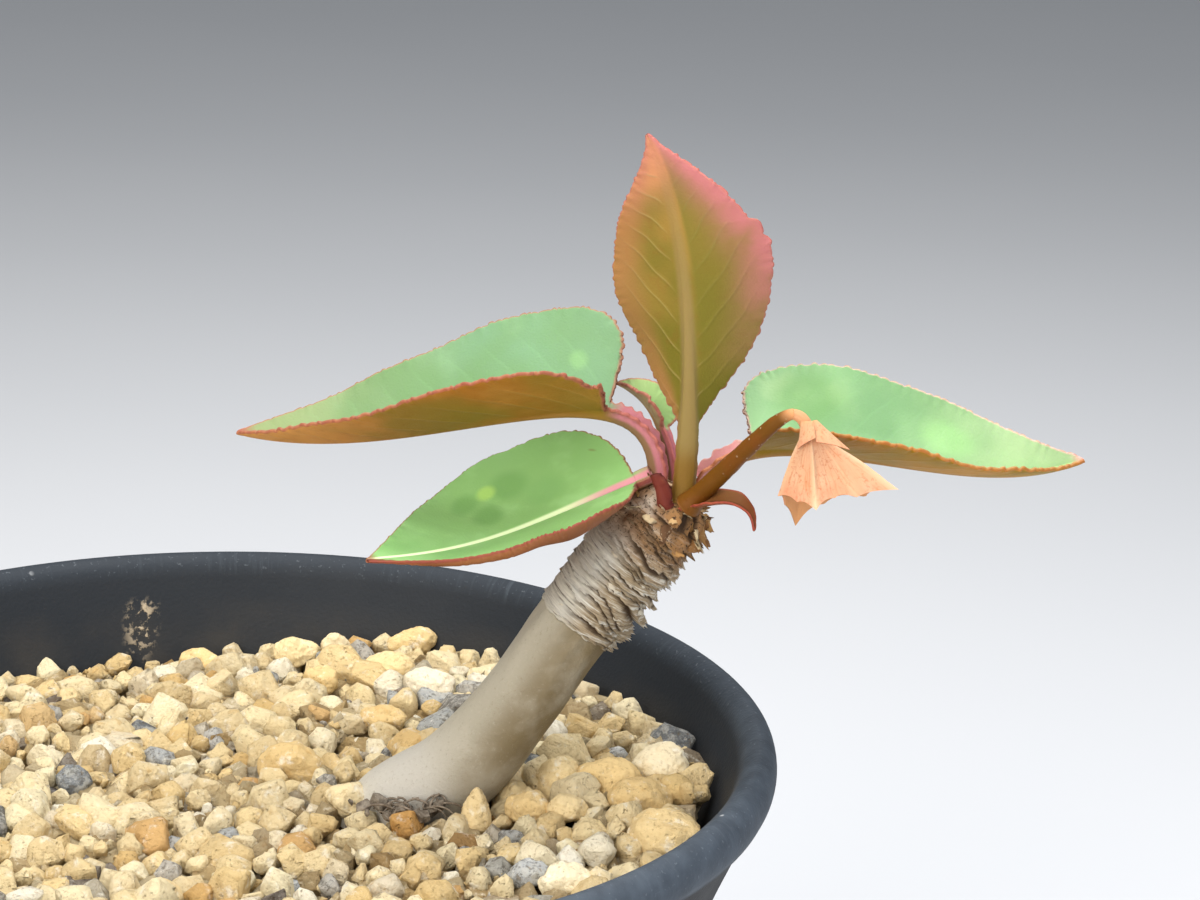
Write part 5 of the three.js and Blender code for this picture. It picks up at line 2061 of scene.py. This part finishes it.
@dataclass(frozen=True)
class DryBract:
    """Dried bracts: papery and matt, peach, with fine veins and speckles."""

    colour: str = "#cf9d78"
    light: str = "#d8ac8a"
    vein: str = "#c27c50"
    # painted shade on the cup's inner face
    inside: str = "#c78f5f"
    speckle: str = "#b96c44"
    neck: str = "#d99c6c"
    edge: str = "#e58f70"
    rib: str = "#f2d2aa"

    def material(self) -> Material:
        """Makes the material, which reads the cup's ribs and its inner face, painted darker as painted shade.

        Returns:
            The dried bracts.
        """
        material, tree, shader, place = start_material("dried bract, papery, peach")
        keel, inner, drop = (read_value(tree, name) for name in ("keel", "inner", "drop"))
        spread = read_value(tree, "spread", "Vector")
        # Clouds of 3 mm and speckles of 0.3 mm. The veins run from the neck to the rim.
        cloud = add_node(tree, "ShaderNodeTexNoise", {"Vector": place, "Scale": 350.0, "Detail": 4.0})
        veins = add_node(
            tree, "ShaderNodeTexNoise", {"Vector": spread, "Scale": 1.0, "Detail": 5.0, "Roughness": 0.6}
        )
        speckle = add_node(
            tree, "ShaderNodeTexNoise", {"Vector": place, "Scale": 3000.0, "Detail": 3.0, "Roughness": 0.6}
        )
        # Painted shade: the cup's inner face is painted a darker tan.
        colour = paint_over(
            self.colour, (cloud.fade(0.45, 0.7, 0.7), self.light), (veins.fade(0.5, 0.64, 0.6), self.vein),
            (speckle.fade(0.54, 0.66) * cloud.fade(0.3, 0.55) * 0.6, self.speckle),
            (drop.fade(0.2, 0.0, 0.6), self.neck), (drop.fade(0.7, 1.0, 0.35), self.edge),
            (keel * 0.5, self.rib), (inner, self.inside),
        )
        height = veins + speckle * 0.5
        bump = add_node(tree, "ShaderNodeBump", {"Height": height, "Strength": 0.45, "Distance": 0.12 * MM})
        shader.set({
            "Base Color": colour, "Normal": bump, "Roughness": 0.75, "IOR": 1.45, "Specular IOR Level": 0.2,
            "Subsurface Weight": 0.15, "Subsurface Radius": (1.0, 0.6, 0.35), "Subsurface Scale": 0.8 * MM,
        })
        return material


@dataclass
class Bloom:
    """The arched flower stalk with the dried bract cup that hangs from it."""

    stalk_route: tuple[Triple, ...] = (
        (48.8, -4.2, 117.4), (51.6, -6.0, 121.1), (55.0, -9.0, 125.8), (57.1, -10.8, 128.6),
        (58.6, -11.5, 129.8),
    )
    stalk_radius: tuple[float, float] = (1.15, 0.55)
    neck: tuple[Triple, ...] = (
        (58.6, -11.5, 129.8), (59.9, -11.5, 130.0), (60.6, -11.5, 128.6), (60.6, -11.5, 127.0)
    )
    neck_radius: float = 0.78
    # The cup's rim: bearing in degrees, reach, drop under the neck's end, and how sharp its keel is.
    rim: tuple[tuple[float, float, float, float], ...] = (
        (-170, 2.9, 5.8, 0.6), (-110, 2.9, 5.7, 0.0), (-77, 4.1, 6.1, 1.0), (-44, 4.0, 5.1, 0.0),
        (-26, 5.7, 5.0, 0.4), (-3, 9.6, 4.6, 1.0), (17, 6.7, 6.2, 0.0), (56, 4.2, 7.6, 0.3),
        (100, 3.6, 10.1, 1.0), (138, 2.6, 7.4, 0.0),
    )
    between: int = 10
    levels: int = 26
    flare: float = 0.85
    wall: float = 0.3
    roof: float = 0.6
    # The cape's flaps over the neck: the left and right ends of each root, then of its free edge.
    cape: tuple[tuple[Triple, Triple, Triple, Triple], ...] = (
        ((59.7, -12.2, 129.3), (60.9, -12.5, 129.5), (59.5, -12.6, 126.5), (61.2, -13.5, 128.0)),
        ((60.9, -12.4, 129.5), (61.3, -12.1, 129.5), (61.3, -13.4, 127.5), (64.7, -13.3, 126.8)),
    )

    def stalk(self) -> None:
        """The stalk from the crown to the top of its arch."""
        shares = np.linspace(0, 1, 90)
        places, tangents = spline(
            (*self.stalk_route, self.neck[1]), shares * (1 - 0.7 / len(self.stalk_route))
        )
        plain = tube(places, tangents, lerp(*self.stalk_radius, shares), 40)
        radii = lerp(*self.stalk_radius, shares)[:, None] * (1 + 0.05 * rough(plain, 1.5, 3, 8))
        radii += 0.35 * np.exp(-(shares[:, None] / 0.05) ** 2)
        rings = tube(places, tangents, radii, 40)
        values = {"along": np.repeat(shares[:, None], 40, 1)[..., None]}
        ends = (places[:1] - 0.3 * tangents[:1], places[-1:] + 0.15 * tangents[-1:])
        mesh = new_mesh("flower_stalk", shell_over(rings, *ends, values), StalkSkin().material())
        hand_over(new_piece("bloom_stalk", mesh), Slot.STALK, "flower_stalk")

    def rim_line(self) -> np.ndarray:
        """Draws the cup's rim in even steps between its corners, scalloped between them.

        Returns:
            For each step its bearing, reach, drop and keel.
        """
        line = []
        for k, start in enumerate(self.rim):
            end = list(self.rim[(k + 1) % len(self.rim)])
            end[0] += 360 if end[0] < start[0] else 0
            for step in range(self.between):
                share = step / self.between
                row = [lerp(a, b, share) for a, b in zip(start, end)]
                sag = 0.25 * share * (1 - share)
                bearing_gap = math.radians(end[0] - start[0])
                # A straight edge between two corners passes nearer the middle than an arc would.
                chord = 1 - 0.35 * bearing_gap**2 * share * (1 - share)
                row[3] = max(start[3] * max(0, 1 - 4 * share), end[3] * max(0, 4 * share - 3))
                line.append([math.radians(row[0]), row[1] * chord * (1 - sag), row[2] * (1 - sag), row[3]])
        return np.array(line)

    def cup(self) -> Shell:
        """Makes the bract cup, a thin wall with an inner and an outer face.

        Returns:
            Its surface.
        """
        bearing, reach, drop, keel = self.rim_line().T
        middle = np.array(self.neck[-1]) + [0, 0, self.roof]
        way = np.stack([np.cos(bearing), np.sin(bearing), 0 * bearing], -1)

        def ring(share: float, inset: float) -> np.ndarray:
            """Makes one ring of the cup.

            Args:
                share: How far it lies from the neck to the rim.
                inset: How far it lies inside the wall.

            Returns:
                Its points.
            """
            radius = np.maximum(lerp(self.neck_radius, reach, share**self.flare) - inset, 0.2)
            radius = (
                radius + 0.32 * keel * math.sin(math.pi * min(1, share * 1.15))
                - 0.12 * math.sin(math.pi * share)
            )
            height = -(drop + self.roof) * share - inset * self.roof * (1 - share)
            place = middle + way * radius[:, None] + [0, 0, 1] * height[:, None]
            return place + way * (0.10 * share * rough(place, 1.6, 3, 6))[:, None]

        shares = (np.arange(self.levels) + 1) / self.levels
        outer = [ring(share, 0) for share in np.concatenate([[0], shares])]
        inner = [ring(share, self.wall) for share in shares[::-1]]
        rings = np.array([*outer, *inner])
        path = np.concatenate([[0], shares, shares[::-1]])[:, None]
        inside = np.concatenate([np.zeros(len(outer)), np.ones(len(inner))])[:, None] + 0 * bearing
        angle = np.arange(len(bearing)) / len(bearing)
        values = {
            "keel": (keel * (1 - inside))[..., None], "inner": inside[..., None],
            "drop": (path + 0 * bearing)[..., None],
            "spread": np.stack([angle * 60 + 0 * path, path * 2.2 + 0 * bearing, inside * 9], -1),
        }
        ceiling = inner[-1].mean(0)[None]
        return shell_over(rings, middle[None], ceiling, values)

    def flap(self, root_left: Triple, root_right: Triple, low_left: Triple, low_right: Triple) -> Shell:
        """Makes one thin flap of the cape, bowed outwards between its four corners.

        Args:
            root_left: The left end of its root.
            root_right: The right end of its root.
            low_left: The left end of its free edge.
            low_right: The right end of its free edge.

        Returns:
            Its surface.
        """
        corners = [np.array(corner) for corner in (root_left, root_right, low_left, low_right)]
        u, v = np.linspace(0, 1, 11)[None, :, None], np.linspace(0, 1, 14)[:, None, None]
        sheet = lerp(lerp(corners[0], corners[1], u), lerp(corners[2], corners[3], u), v)
        out = np.cross(corners[3] - corners[0], corners[2] - corners[1])
        out *= -np.sign(out[1]) / np.linalg.norm(out)
        sheet = sheet + out * (0.3 * np.sin(np.pi * u) * v**0.5 + 0.12 * v * v)
        rings = np.concatenate([sheet, sheet[:, ::-1] - 0.14 * out], 1)
        shape = rings.shape[:2]
        spread = np.tile(np.linspace(0, 12, shape[1]), (shape[0], 1))
        values = {
            "keel": np.zeros(shape)[..., None], "inner": np.zeros(shape)[..., None],
            "drop": v + np.zeros(shape)[..., None],
            "spread": np.stack([spread, 3 * v[..., 0] + 0 * spread, 0 * spread], -1),
        }
        return shell_over(rings, rings[:1].mean(1), rings[-1:].mean(1), values)

    def bracts(self) -> None:
        """The neck, the cup and the cape."""
        places, tangents = bezier(self.neck, np.linspace(0.05, 1, 24))
        rings = tube(places, tangents, np.linspace(self.stalk_radius[1], self.neck_radius, 24), 32)
        shape = rings.shape[:2]
        share = np.linspace(0, 1, shape[0])[:, None] + np.zeros(shape)
        values = {
            "keel": np.zeros(shape)[..., None], "inner": np.zeros(shape)[..., None],
            "drop": 0.1 * share[..., None],
            "spread": np.stack(
                [np.tile(np.linspace(0, 20, shape[1]), (shape[0], 1)), share, 0 * share], -1
            ),
        }
        top = shell_over(rings, places[:1] - 0.1 * tangents[:1], places[-1:], values)
        shell = joined([top, self.cup(), *(self.flap(*flap) for flap in self.cape)])
        mesh = new_mesh("flower_bracts", shell, DryBract().material(), sharp=60)
        hand_over(new_piece("bloom_bracts", mesh), Slot.BRACTS, "flower_bracts")

    def build(self) -> None:
        """Makes the bloom."""
        self.stalk()
        self.bracts()


# The studio.


@dataclass
class Studio:
    """The floor, the lights and the camera, which stands as the photograph's did."""

    camera_place: Triple = (39.30, -307.60, 210.0)
    camera_pitch: float = 0.2788138402  # radians below level
    camera_roll: float = 0.03917266719
    focal_length: float = 90.0
    sensor_width: float = 36.0
    floor_colour: str = "#d9dadc"
    floor_cloud: str = "#cfd1d4"
    floor_size: float = 6000.0

    def camera(self) -> None:
        """Places the camera."""
        pitch, roll = self.camera_pitch, self.camera_roll
        forward = Vector((0, math.cos(pitch), -math.sin(pitch)))
        level_up = Vector((0, math.sin(pitch), math.cos(pitch)))
        right = math.cos(roll) * Vector((1, 0, 0)) + math.sin(roll) * level_up
        up = math.cos(roll) * level_up - math.sin(roll) * Vector((1, 0, 0))
        data = bpy.data.cameras.new("camera")
        data.lens, data.sensor_width, data.sensor_fit = self.focal_length, self.sensor_width, "HORIZONTAL"
        data.clip_start, data.clip_end = 0.01, 20
        camera = bpy.data.objects.new("camera", data)
        turn = Matrix((right, up, -forward)).transposed().to_4x4()
        camera.matrix_world = Matrix.Translation(Vector(self.camera_place) * MM) @ turn
        bpy.context.scene.collection.objects.link(camera)
        bpy.context.scene.camera = camera

    def floor(self) -> None:
        """Lays the plain pale floor."""
        half = self.floor_size / 2
        corners = np.array([(-half, -half, 0), (half, -half, 0), (half, half, 0), (-half, half, 0)], float)
        material, tree, shader, place = start_material("pale painted board")
        cloud = add_node(tree, "ShaderNodeTexNoise", {"Vector": place, "Scale": 3.0, "Detail": 3.0})
        colour = paint_over(self.floor_colour, (cloud.fade(0.3, 0.7, 0.25), self.floor_cloud))
        shader.set({"Base Color": colour, "Roughness": 0.7})
        floor = new_piece("floor", new_mesh("floor", Shell(corners, [(0, 1, 2, 3)]), material))

    def light(self, name: str, place: Triple, aim: Triple, size: float, power: float, colour: str) -> None:
        """Hangs one soft lamp.

        Args:
            name: The lamp's name.
            place: Where it hangs, in millimetres.
            aim: What it points at.
            size: The width of its soft face in millimetres.
            power: Its power in watts.
            colour: Its colour.
        """
        data = bpy.data.lights.new(name, "AREA")
        data.shape, data.size, data.energy, data.color = "DISK", size * MM, power, linear(colour)[:3]
        lamp = bpy.data.objects.new(name, data)
        lamp.location = Vector(place) * MM
        lamp.rotation_euler = (Vector(place) - Vector(aim)).to_track_quat("Z", "Y").to_euler()
        lamp.visible_camera = False
        bpy.context.scene.collection.objects.link(lamp)

    def build(self) -> None:
        """Sets up the studio."""
        self.camera()
        self.floor()
        self.light("key", (-300, -520, 470), (25, 0, 95), 520, 4.3, "#fffaf4")
        self.light("fill", (460, -360, 320), (30, 0, 95), 600, 1.5, "#eef3ff")
        self.light("low", (-120, -430, 40), (25, 0, 110), 500, 0.8, "#fff6ea")
        self.light("top", (50, 60, 640), (30, 0, 95), 600, 4.7, "#ffffff")
        world = bpy.data.worlds.new("soft room light")
        world.use_nodes = True
        world.node_tree.nodes["Background"].inputs[0].default_value = linear("#dfe4ea")
        world.node_tree.nodes["Background"].inputs[1].default_value = 0.37
        bpy.context.scene.world = world
        bpy.context.scene.view_settings.view_transform = "Standard"


def main() -> None:
    """Builds every piece in order."""
    logging.basicConfig(level=logging.INFO, format="%(message)s")
    Studio().build()
    pot, stem = Pot(), Stem()
    pot.build()
    GravelBed(pot, stem).build()
    stem.build()
    for leaf in LEAVES:
        leaf.build()
    Bloom().build()


if __name__ == "__main__":
    main()
